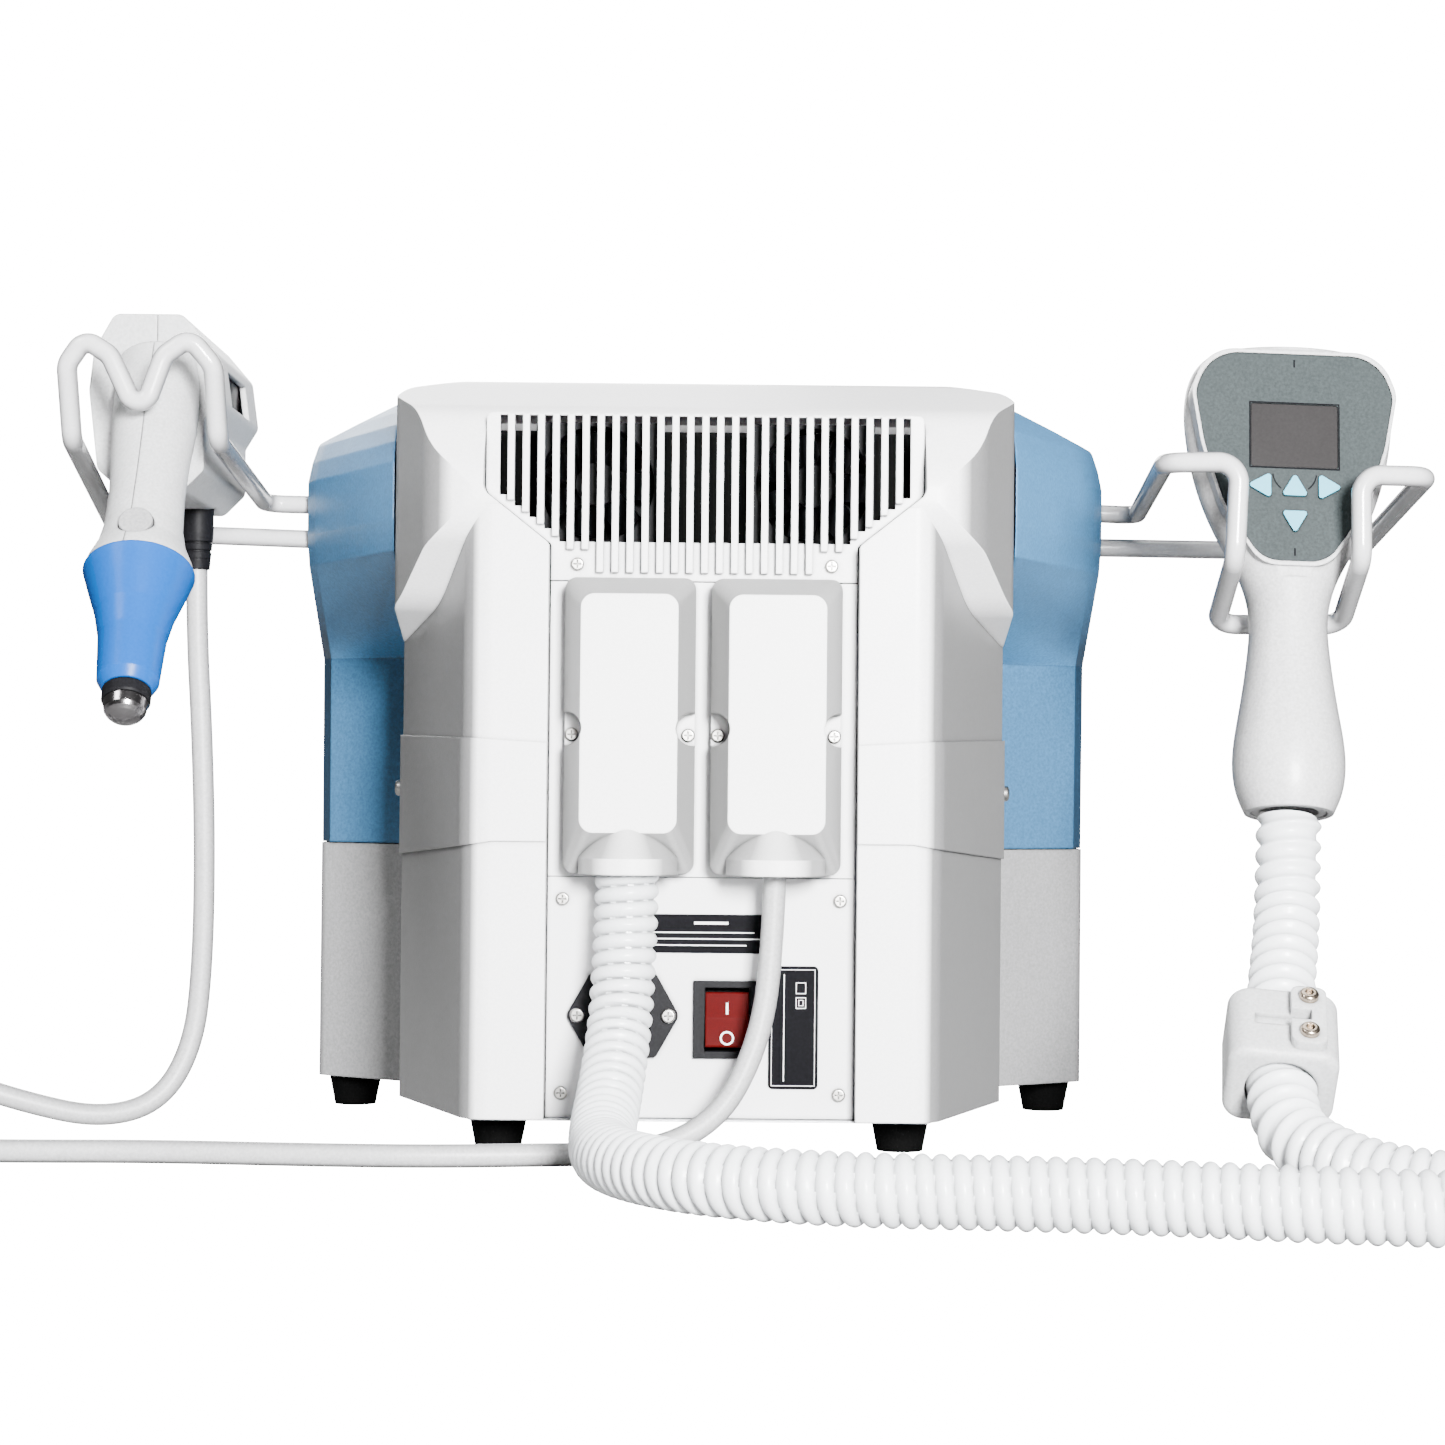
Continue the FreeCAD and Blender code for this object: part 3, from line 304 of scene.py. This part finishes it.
COAT_ROUGHNESS = 0.12
LEAST_ROUGHNESS = 0.04
GLOSS_BELOW, GLOSS_ABOVE = 0.06, 0.08


def surface(name, colour, roughness=0.4, metallic=0.0, grain=0.25, grain_size=0.0006, speckle=0.06,
            wear=0.10, coat=0.0, soften=0.0006, specular=0.5, streak=False, flank=1.0, bands=SIDEWAYS,
            crevice=0.75):
    """Moulded or metal surface: softened edges, grain bump, colour speckle, worn edges, uneven gloss."""
    material = bpy.data.materials.new(name)
    material.use_nodes = True
    tree = material.node_tree
    shader = tree.nodes["Principled BSDF"]
    shader.inputs["Metallic"].default_value = metallic
    shader.inputs["Coat Weight"].default_value = coat
    shader.inputs["Coat Roughness"].default_value = COAT_ROUGHNESS
    shader.inputs["Specular IOR Level"].default_value = specular
    place = add_node(tree, "ShaderNodeTexCoord")
    fine, broad = grain_noise(tree, place, grain_size, streak)
    tint = worn_edges(tree, speckled(tree, colour, speckle, fine, broad), colour, wear)
    if flank < 1.0:
        tint = shade_by_tilt(tree, place, tint, flank, bands)
    # painted shade in grooves, recesses and screw slots, where other faces stand close
    if crevice:
        tint = painted_crevice_shade(tree, tint, crevice)
    tree.links.new(tint, shader.inputs["Base Color"])
    gloss = ranged(tree, broad, 0.0, 1.0, max(LEAST_ROUGHNESS, roughness - GLOSS_BELOW),
                   min(1.0, roughness + GLOSS_ABOVE))
    tree.links.new(gloss, shader.inputs["Roughness"])
    tree.links.new(grained_normal(tree, fine, grain, soften), shader.inputs["Normal"])
    return material


# finishes, most of them for the slot of the same name; flank is the grey that shade_by_tilt darkens with
FINISHES = {
    "white_cover": dict(colour=(0.82, 0.82, 0.83), roughness=0.38, speckle=0.05, soften=0.0012, coat=0.05,
                        flank=0.20),
    "blue_cover": dict(colour=(0.055, 0.175, 0.34), roughness=0.40, speckle=0.18, soften=0.002,
                       specular=0.3, flank=0.26, bands=LOW_SIDES),
    "grey_cover": dict(colour=(0.30, 0.30, 0.305), roughness=0.45, speckle=0.16, soften=0.0015,
                       flank=0.62),
    "panel_white": dict(colour=(0.80, 0.80, 0.81), roughness=0.40, speckle=0.02, soften=0.0004, flank=0.42,
                        bands=BEVELLED),
    "hand_unit_grey": dict(colour=(0.48, 0.485, 0.49), roughness=0.42, speckle=0.12, soften=0.0015),
    "hand_unit_white": dict(colour=(0.50, 0.50, 0.505), roughness=0.38, speckle=0.14, soften=0.0014,
                            coat=0.08, flank=0.5, bands=ROUNDED),
    "holder_wire": dict(colour=(0.55, 0.55, 0.56), roughness=0.22, speckle=0.04, coat=0.3, grain=0.05,
                        flank=0.35, bands=ROUNDED),
    "black_plastic": dict(colour=(0.005, 0.005, 0.006), roughness=0.5, speckle=0.25, wear=0.04,
                          specular=0.08),
    "red_rocker": dict(colour=(0.045, 0.0002, 0.0003), roughness=0.4, speckle=0.05, grain=0.04,
                       soften=0.001, specular=0.02),
    "screw_steel": dict(colour=(0.45, 0.44, 0.42), roughness=0.34, metallic=1.0, grain=0.12, soften=0.0002,
                        crevice=0.95),
    "foot_rubber": dict(colour=(0.002, 0.002, 0.002), roughness=0.75, speckle=0.2, grain=0.5, soften=0.001,
                        specular=0.02, wear=0.0),
    "hose_white": dict(colour=(0.76, 0.78, 0.80), roughness=0.36, speckle=0.03, grain=0.12, coat=0.1,
                       soften=0.0),
    "cable_grey": dict(colour=(0.40, 0.40, 0.405), roughness=0.42, speckle=0.12, grain=0.15, soften=0.0,
                       flank=0.5, bands=ROUNDED),
    "label_black": dict(colour=(0.003, 0.003, 0.004), roughness=0.6, speckle=0.2, grain=0.06, soften=0.0,
                        specular=0.03, wear=0.0),
    "face_teal": dict(colour=(0.024, 0.031, 0.032), roughness=0.55, speckle=0.20, grain=0.3, soften=0.0004,
                      specular=0.1),
    "display_dark": dict(colour=(0.014, 0.0128, 0.013), roughness=0.35, speckle=0.10, grain=0.03,
                         soften=0.0002, specular=0.08),
    "button_cyan": dict(colour=(0.10, 0.37, 0.49), roughness=0.5, speckle=0.03, grain=0.2, soften=0.0006,
                        specular=0.1),
    "sleeve_blue": dict(colour=(0.0005, 0.062, 0.27), roughness=0.30, speckle=0.05, grain=0.08,
                        soften=0.001, specular=0.12),
    "tip_metal": dict(colour=(0.26, 0.25, 0.255), roughness=0.18, metallic=1.0, grain=0.06,
                      soften=0.0006),
    "clamp_screw": dict(colour=(0.46, 0.38, 0.30), roughness=0.24, metallic=1.0, grain=0.1,
                        soften=0.0003),
    "circuit_board": dict(colour=(0.02, 0.14, 0.06), roughness=0.35, speckle=0.5, grain_size=0.002,
                          soften=0.0),
    "sheet_metal": dict(colour=(0.55, 0.56, 0.58), roughness=0.36, metallic=1.0, streak=True,
                        soften=0.0003),
    "sink_aluminium": dict(colour=(0.62, 0.63, 0.65), roughness=0.32, metallic=1.0, streak=True,
                           soften=0.0003),
    "pin_brass": dict(colour=(0.66, 0.55, 0.32), roughness=0.25, metallic=1.0, soften=0.0002),
    "screen_glass": dict(colour=(0.010, 0.010, 0.014), roughness=0.06, speckle=0.1, grain=0.01, coat=0.8,
                         soften=0.0004),
    "housing_white": dict(colour=(0.84, 0.84, 0.84), roughness=0.42, speckle=0.03, soften=0.0014,
                          flank=0.30, bands=BEVELLED),
    "print_white": dict(colour=(0.80, 0.80, 0.80), roughness=0.5, speckle=0.03, soften=0.0),
    "screen_mark": dict(colour=(0.05, 0.14, 0.19), roughness=0.3, speckle=0.05, soften=0.0, crevice=0.0),
    "print_dark": dict(colour=(0.004, 0.004, 0.005), roughness=0.8, speckle=0.1, soften=0.0, specular=0.02,
                       crevice=0.0),
    "dark_seam": dict(colour=(0.004, 0.004, 0.004), roughness=0.9, speckle=0.3, soften=0.0,
                      specular=0.05),
}
materials = {name: surface(name, **finish) for name, finish in FINISHES.items()}


NODE_SHARP_DEG = 32


def finish_nodes():
    """Every kept node gets the finish of its slot, and smooth shading between its sharp edges.

    The plug housings share the handset shells' slot, but have flat faces with bevels to shade.
    """
    slots = {part["node"]: part["material_slot"] for part in frame["record"]["subparts"]}
    for name, item in nodes.items():
        finish = "housing_white" if name.startswith("connector_housing") else slots[name]
        item.data.materials.clear()
        item.data.materials.append(materials[finish])
        item.data.shade_smooth()
        item.data.set_sharp_from_angle(angle=math.radians(NODE_SHARP_DEG))


# ---- mesh helpers -----------------------------------------------------------------
SHARP_DEG = 40
CURVE_ORDER = 3
STEPS_BETWEEN_POINTS = 10


def piece_from(shape, name, finish, smooth=True):
    """Turn a bmesh into a piece with its finish. Its slot has the finish's name."""
    mesh = bpy.data.meshes.new(name)
    bmesh.ops.recalc_face_normals(shape, faces=shape.faces)
    shape.to_mesh(mesh)
    shape.free()
    mesh.materials.append(materials[finish])
    if smooth:
        mesh.shade_smooth()
        mesh.set_sharp_from_angle(angle=math.radians(SHARP_DEG))
    item = bpy.data.objects.new(name, mesh)
    bpy.context.scene.collection.objects.link(item)
    return item


def close_rings(shape, rings):
    """Faces between each ring of vertices and the next, and a lid on both ends."""
    for near, far in zip(rings, rings[1:]):
        count = len(near)
        for k in range(count):
            following = (k + 1) % count
            shape.faces.new((near[k], near[following], far[following], far[k]))
    shape.faces.new(list(reversed(rings[0])))
    shape.faces.new(rings[-1])


def curve_through(points, name):
    """Open NURBS line with the route's own points as its control points."""
    data = bpy.data.curves.new(name, "CURVE")
    data.dimensions = "3D"
    data.resolution_u = STEPS_BETWEEN_POINTS
    spline = data.splines.new("NURBS")
    spline.points.add(len(points) - 1)
    for point, spot in zip(spline.points, points):
        point.co = (spot[0] * MM, spot[1] * MM, spot[2] * MM, 1.0)
    spline.order_u = CURVE_ORDER
    spline.use_endpoint_u = True
    return data


def line_points(data):
    """The points of the line that a curve draws, in order."""
    holder = bpy.data.objects.new("route", data)
    bpy.context.scene.collection.objects.link(holder)
    graph = bpy.context.evaluated_depsgraph_get()
    mesh = bpy.data.meshes.new_from_object(holder.evaluated_get(graph))
    points = [v.co.copy() for v in mesh.vertices]
    bpy.data.objects.remove(holder)
    bpy.data.meshes.remove(mesh)
    return points


def resampled(points, step):
    """Evenly spaced points along a line, and the line's length."""
    lengths = [0.0]
    for a, b in zip(points, points[1:]):
        lengths.append(lengths[-1] + (b - a).length)
    count = max(2, round(lengths[-1] / step))
    result, k = [], 0
    for i in range(count + 1):
        target = lengths[-1] * i / count
        while k < len(points) - 2 and lengths[k + 1] < target:
            k += 1
        span = lengths[k + 1] - lengths[k]
        result.append(points[k].lerp(points[k + 1], (target - lengths[k]) / span if span else 0.0))
    return result, lengths[-1]


def tube_mesh(points, radius_at, around, name, finish):
    """Closed tube: one ring per point, carried along without twist, with flat ends.

    radius_at takes the distance along the tube and the share of a turn around it.
    """
    shape = bmesh.new()
    side = (points[1] - points[0]).orthogonal().normalized()
    rings, travelled = [], 0.0
    for i, spot in enumerate(points):
        ahead = (points[min(i + 1, len(points) - 1)] - points[max(i - 1, 0)]).normalized()
        side = (side - ahead * side.dot(ahead)).normalized()
        other = ahead.cross(side)
        if i:
            travelled += (spot - points[i - 1]).length
        ring = []
        for k in range(around):
            angle = 2 * math.pi * k / around
            outward = side * math.cos(angle) + other * math.sin(angle)
            ring.append(shape.verts.new(spot + outward * radius_at(travelled, k / around)))
        rings.append(ring)
    close_rings(shape, rings)
    return piece_from(shape, name, finish)


# ---- hose and cable ---------------------------------------------------------------
# The routes' points are in millimetres and the same as in the part's source.
# They are the control points of the line, which starts and ends on the first and the last.
HOSE_FLOOR = 14.6
CABLE_FLOOR = 5.4
# centre x, centre y and radius of what lies coiled
HOSE_LOOP = (510.0, -245.0, 140.0)
CABLE_LOOP = (-380.0, -112.0, 57.0)
HOSE_TURNS, CABLE_TURNS = 0.75, 2.5
CABLE_COIL_TOP = 25.8
HOSE_POINTS_PER_TURN, CABLE_POINTS_PER_TURN = 16, 14
COIL_START_DEG = -90
CLAMP_A = (236.0, -222.0, 73.0)
CLAMP_B = (229.0, -266.0, 40.0)
HOSE_OUT = [
    (-32, -140, 131.9), (-33, -141.5, 74), (-37, -168, 36), (-41, -214, HOSE_FLOOR),
    (-34, -268, HOSE_FLOOR), (-2, -318, HOSE_FLOOR), (52, -345, HOSE_FLOOR), (112, -350, HOSE_FLOOR),
    (172, -360, HOSE_FLOOR), (232, -378, HOSE_FLOOR), (294, -388, HOSE_FLOOR), (352, -383, HOSE_FLOOR),
    (412, -386, HOSE_FLOOR), (462, -385, HOSE_FLOOR)]
HOSE_IN = [
    (370, -284, HOSE_FLOOR), (346, -324, HOSE_FLOOR), (300, -338, HOSE_FLOOR), (257, -322, 16.5),
    (231, -288, 26), CLAMP_B, CLAMP_A, (245, -188, 101), (248.8, -170, 122), (250.9, -160.5, 150.9)]
CABLE_OUT = [
    (32, -140, 131.9), (31, -141, 84), (24, -145, 48), (8, -152, 19), (-22, -159, CABLE_FLOOR),
    (-66, -167, CABLE_FLOOR), (-116, -176, CABLE_FLOOR), (-172, -173, CABLE_FLOOR),
    (-230, -166, CABLE_FLOOR), (-288, -170, CABLE_FLOOR), (-336, -169, CABLE_FLOOR)]
CABLE_IN = [
    (-345, -55, 25.6), (-312, -50, 14), (-278, -40, CABLE_FLOOR), (-252, -29, 12), (-238, -21, 38),
    (-234.5, -19, 76), (-234, -19.5, 130), (-236, -20, 186), (-239, -20, 232), (-239.3, -20, 261.9)]

HOSE_DIAMETER, CABLE_DIAMETER = 28 * MM, 10 * MM
HOSE_AROUND, CABLE_AROUND = 30, 24
HOSE_STEP, HOSE_QUICK_STEP, CABLE_STEP = 0.7 * MM, 1.75 * MM, 3.0 * MM
# ribs: pitch, radius of the groove, height and sharpness
CONSOLE_RIBS = (7.0 * MM, 11.2, 2.8, 0.6)
HANDSET_RIBS = (9.3 * MM, 11.7, 2.3, 1.6)
HANDSET_RIBS_LENGTH = 0.19


def wound(loop, turns, low, high, per_turn, way):
    """Control points of a coil: way is 1 for anticlockwise from above, -1 for clockwise."""
    x, y, radius = loop
    count = round(per_turn * turns)
    # the line runs inside its control points, so they stand a little further out than the turns
    reach = radius / math.cos(math.pi / per_turn) ** 0.5
    points = []
    for i in range(count + 1):
        share = i / count
        angle = math.radians(COIL_START_DEG) + way * 2 * math.pi * turns * share
        height = low + (high - low) * share
        points.append((x + reach * math.cos(angle), y + reach * math.sin(angle), height))
    return points


def add_hose():
    """Corrugated hose: fine round ribs from the console, coarser wavy ones near the handset."""
    coil = wound(HOSE_LOOP, HOSE_TURNS, HOSE_FLOOR, HOSE_FLOOR, HOSE_POINTS_PER_TURN, 1)
    curve = curve_through(HOSE_OUT + coil + HOSE_IN, "hose_route")
    line, length = resampled(line_points(curve), HOSE_STEP)
    change = length - HANDSET_RIBS_LENGTH

    def radius_at(s, turn):
        if s < change:
            pitch, groove, height, power = CONSOLE_RIBS
            wave = abs(math.sin(math.pi * (s / pitch - turn)))
        else:
            pitch, groove, height, power = HANDSET_RIBS
            wave = 0.5 + 0.5 * math.cos(2 * math.pi * ((s - change) / pitch - turn))
        return (groove + height * wave ** power) * MM

    hose = tube_mesh(line, radius_at, HOSE_AROUND, "hose", "hose_white")
    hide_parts("hose_run_console", "hose_coil", "hose_run_handset")
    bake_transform(hose)


def add_cable():
    coil = wound(CABLE_LOOP, CABLE_TURNS, CABLE_FLOOR, CABLE_COIL_TOP, CABLE_POINTS_PER_TURN, -1)
    curve = curve_through(CABLE_OUT + coil + CABLE_IN, "cable_route")
    line, length = resampled(line_points(curve), CABLE_STEP)
    cable = tube_mesh(line, lambda s, turn: CABLE_DIAMETER / 2, CABLE_AROUND, "cable", "cable_grey")
    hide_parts("cable_run_console", "cable_coil", "cable_run_applicator")
    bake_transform(cable)


# ---- printed marks and small fittings ---------------------------------------------
def local_frame(origin, up):
    """Matrix of a hand unit's own axes: z along it, x to the right, y away from the rear."""
    z = Vector(up).normalized()
    y = z.cross(Vector((1, 0, 0))).normalized()
    x = y.cross(z)
    matrix = Matrix((x, y, z)).transposed().to_4x4()
    matrix.translation = Vector(origin) * MM
    return matrix


def raised_print(frame_of, outlines, level, thickness, name, finish, body):
    """Thin raised shapes on a flat face. Each outline is a closed list of (x, z) in millimetres."""
    shape = bmesh.new()
    for outline in outlines:
        rings = []
        for y in (level, level - thickness):
            places = [frame_of @ Vector((x * MM, y * MM, z * MM)) for x, z in outline]
            rings.append([shape.verts.new(place) for place in places])
        close_rings(shape, rings)
    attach(piece_from(shape, name, finish, smooth=False), body)


def stripe(points, width):
    """Closed outline that follows a list of (x, z) points at a given width."""
    left, right = [], []
    for i, (x, z) in enumerate(points):
        ax, az = points[max(i - 1, 0)]
        bx, bz = points[min(i + 1, len(points) - 1)]
        span = math.hypot(bx - ax, bz - az)
        nx, nz = -(bz - az) / span * width / 2, (bx - ax) / span * width / 2
        left.append((x + nx, z + nz))
        right.append((x - nx, z - nz))
    return left + right[::-1]


def arc(cx, cz, radius, first, last, steps=20):
    points = []
    for k in range(steps + 1):
        angle = math.radians(first + (last - first) * k / steps)
        points.append((cx + radius * math.cos(angle), cz + radius * math.sin(angle)))
    return points


def ring_halves(cx, cz, radius, width, steps=20):
    """A ring as two half rings, because a closed outline can't have a hole."""
    return [stripe(arc(cx, cz, radius, first, first + 180, steps), width) for first in (0, 180)]


def box_outline(x0, x1, z0, z1):
    return [(x0, z0), (x1, z0), (x1, z1), (x0, z1)]


def frame_lines(x0, x1, z0, z1, width):
    """Four bars around a rectangle."""
    return [box_outline(x0, x1, z0, z0 + width),
            box_outline(x0, x1, z1 - width, z1),
            box_outline(x0, x0 + width, z0 + width, z1 - width),
            box_outline(x1 - width, x1, z0 + width, z1 - width)]


# ---- switch marks -------------------------------------------------------------------
ROCKER_X = 11.8
# middle of each half of the rocker: y, z, and how far it leans back over how much height
ROCKER_LOWER = (-123.0, 60.6, 2.8, 12.6)
ROCKER_UPPER = (-122.0, 72.2, 1.0, 11.6)
OFF_RING_Z, OFF_RING_RADIUS, OFF_RING_STEPS, MARK_WIDTH = 51.9, 2.7, 16, 0.8
ON_BAR = (ROCKER_X - 0.5, ROCKER_X + 0.5, 62.4, 67.4)
MARK_LEVEL, MARK_THICKNESS = 0.1, 0.35


def on_rocker(half):
    """Matrix that lays a flat print on one leaning half of the rocker."""
    y, z, lean, height = half
    there = Matrix.Translation(Vector((0, y * MM, z * MM)))
    tilt = Matrix.Rotation(-math.atan2(lean, height), 4, "X")
    return there @ tilt @ Matrix.Translation(Vector((0, 0, -z * MM)))


def add_switch_marks():
    ring = ring_halves(ROCKER_X, OFF_RING_Z, OFF_RING_RADIUS, MARK_WIDTH, OFF_RING_STEPS)
    raised_print(on_rocker(ROCKER_LOWER), ring, MARK_LEVEL, MARK_THICKNESS, "switch_mark_off",
                 "print_white", "rocker")
    raised_print(on_rocker(ROCKER_UPPER), [box_outline(*ON_BAR)], MARK_LEVEL, MARK_THICKNESS,
                 "switch_mark_on", "print_white", "rocker")


# ---- labels on the rear panel ----------------------------------------------------------
PANEL_FRAME = Matrix.Translation(Vector((0, -120 * MM, 0)))
LABEL_LEVEL = -0.38
PRINT_THICKNESS = 0.08
FINE_RULE, THIN_RULE = 0.25, 0.3
SIDE_LABEL = (31.3, 50.5, 31.0, 82.2)
SIDE_LABEL_RULE = (36.6, 37.0, 33.0, 80.0)
SIDE_LABEL_SQUARES = ((42.0, 46.4, 71.5, 76.5), (42.0, 46.4, 65.0, 70.0))
INNER_SQUARE = (43.1, 45.3, 66.2, 68.8)
UPPER_LABEL_START = -21.0
UPPER_LABEL_RULES = ((20.0, 92.2), (26.0, 95.0), (23.5, 97.8))      # right end and height
UPPER_LABEL_RULE_WIDTH = 0.5
UPPER_LABEL_BAR = (-3.0, 12.0, 101.6, 102.8)


def add_label_print():
    """Plain rules and squares in place of the labels' wording."""
    lines = frame_lines(*SIDE_LABEL, FINE_RULE)
    lines.append(box_outline(*SIDE_LABEL_RULE))
    for square in SIDE_LABEL_SQUARES:
        lines += frame_lines(*square, THIN_RULE)
    lines += frame_lines(*INNER_SQUARE, FINE_RULE)
    for end, z in UPPER_LABEL_RULES:
        lines.append(box_outline(UPPER_LABEL_START, end, z, z + UPPER_LABEL_RULE_WIDTH))
    lines.append(box_outline(*UPPER_LABEL_BAR))
    raised_print(PANEL_FRAME, lines, LABEL_LEVEL, PRINT_THICKNESS, "label_rules", "print_white", "root")


# ---- handset face ------------------------------------------------------------------------
GRIP_FRAME = local_frame((251, -160, 153), (5, 36, 158))
FACE_LEVEL = -17.08
FACE_ARC_Z, FACE_ARC_RADIUS, FACE_ARC_WIDTH = 148.0, 9.5, 0.55
FACE_ARC_STARTS, FACE_ARC_SWEEP, FACE_ARC_STEPS = (186, 308), 46, 12
TICK_HALF = 0.35
TICK_SPANS = ((196.2, 199.6), (110.2, 113.6))
DISPLAY_RIM = (-19.7, 19.7, 149.5, 179.9)
RIM_WIDTH, RIM_THICKNESS = 0.6, 0.12


def add_face_print():
    lines = []
    for first in FACE_ARC_STARTS:
        curve = arc(0, FACE_ARC_Z, FACE_ARC_RADIUS, first, first + FACE_ARC_SWEEP, FACE_ARC_STEPS)
        lines.append(stripe(curve, FACE_ARC_WIDTH))
    lines += [box_outline(-TICK_HALF, TICK_HALF, low, high) for low, high in TICK_SPANS]
    raised_print(GRIP_FRAME, lines, FACE_LEVEL, PRINT_THICKNESS, "face_lines", "print_dark", "handset")
    rim = frame_lines(*DISPLAY_RIM, RIM_WIDTH)
    raised_print(GRIP_FRAME, rim, FACE_LEVEL, RIM_THICKNESS, "display_rim", "print_dark", "handset")


# ---- grille shade sheet and side screws ------------------------------------------------------
SHADE_SHEET_FRAME = Matrix.Translation(Vector((0, -84 * MM, 0)))
SHADE_SHEET_OUTLINE = (-104.0, 104.0, 258.0, 322.0)
SHADE_SHEET_THICKNESS = 2.0
SIDE_SCREW_AT = (140.0, -5.0, 160.0)
SCREW_RINGS = ((3.8, 0.0), (3.8, 4.8), (3.3, 5.7), (2.3, 6.1))       # radius and height
SOCKET_RINGS = ((1.8, 6.1), (1.7, 4.6))
SOCKET_FIT = 0.95
SCREW_STEPS = 24


def add_grille_shade_sheet():
    """Black sheet behind the grille as painted shade for the dark inside, so that nothing pale shows through
    the slots.
    """
    # painted shade: a black sheet where the slots show only the shadow inside the device
    raised_print(SHADE_SHEET_FRAME, [box_outline(*SHADE_SHEET_OUTLINE)], 0.0, SHADE_SHEET_THICKNESS, "grille_shade_sheet",
                 "dark_seam", "root")


def screw_head(place):
    """Tall screw head with a six-sided socket."""
    shape = bmesh.new()
    rings = []
    for radius, height in SCREW_RINGS + SOCKET_RINGS:
        ring = []
        for k in range(SCREW_STEPS):
            angle = 2 * math.pi * k / SCREW_STEPS
            reach = radius
            if (radius, height) in SOCKET_RINGS:
                corner = math.cos(angle % (math.pi / 3) - math.pi / 6)
                reach = SOCKET_FIT * radius / corner
            point = Vector((reach * math.cos(angle), reach * math.sin(angle), height))
            ring.append(shape.verts.new(place @ point))
        rings.append(ring)
    close_rings(shape, rings)
    return shape


def add_side_screws():
    """A screw head on each flank, just past the band, that shows edge-on from behind."""
    x, y, z = SIDE_SCREW_AT
    for side, word in ((-1, "left"), (1, "right")):
        there = Matrix.Translation(Vector((side * x, y, z)))
        turn = Matrix.Rotation(side * math.pi / 2, 4, "Y")
        shape = screw_head(Matrix.Scale(MM, 4) @ there @ turn)
        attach(piece_from(shape, "side_screw_" + word, "screw_steel"), "root")


# ---- front: screen, key and lamp ---------------------------------------------------------------
FRONT_FRAME = Matrix.Translation(Vector((0, 125 * MM, 0))) @ Matrix.Rotation(math.pi, 4, "Z")
SCREEN_LEVEL, SCREEN_MARK_THICKNESS = 0.55, 0.1
TILE_STARTS = (-92.0, -29.0, 34.0)
TILE_WIDTH, TILE_BOTTOM, TILE_TOP, TILE_RULE = 58.0, 214.0, 292.0, 0.7
SCREEN_RULE = (-92.0, 92.0, 192.0, 193.2)
SCREEN_BAR = (-92.0, -20.0, 176.0, 180.0)
KEY_Z, KEY_RING_RADIUS, KEY_RING_WIDTH, KEY_RADIUS, LAMP_RADIUS = 118.0, 9.0, 1.2, 7.4, 1.3
KEY_LEVEL, KEY_THICKNESS = 0.3, 0.7
LAMP_LEVEL, LAMP_THICKNESS = -0.3, 0.4


def disc(cx, cz, radius, corners):
    step = 360 / corners
    return arc(cx, cz, radius, 0, 360 - step, corners - 1)


def add_front_marks():
    """Standby tiles on the touch screen, and a round key with its lamp below it."""
    tiles = []
    for x in TILE_STARTS:
        tiles += frame_lines(x, x + TILE_WIDTH, TILE_BOTTOM, TILE_TOP, TILE_RULE)
    tiles += [box_outline(*SCREEN_RULE), box_outline(*SCREEN_BAR)]
    raised_print(FRONT_FRAME, tiles, SCREEN_LEVEL, SCREEN_MARK_THICKNESS, "screen_tiles", "screen_mark",
                 "root")
    key = ring_halves(0, KEY_Z, KEY_RING_RADIUS, KEY_RING_WIDTH)
    key.append(disc(0, KEY_Z, KEY_RADIUS, 24))
    raised_print(FRONT_FRAME, key, KEY_LEVEL, KEY_THICKNESS, "round_key", "cable_grey", "root")
    lamp = [disc(0, KEY_Z, LAMP_RADIUS, 12)]
    raised_print(FRONT_FRAME, lamp, LAMP_LEVEL, LAMP_THICKNESS, "key_lamp", "button_cyan", "root")


# ---- build -------------------------------------------------------------------------
add_camera()
add_studio()
add_hose()
add_cable()
finish_nodes()
add_switch_marks()
add_label_print()
add_face_print()
add_grille_shade_sheet()
add_side_screws()
add_front_marks()
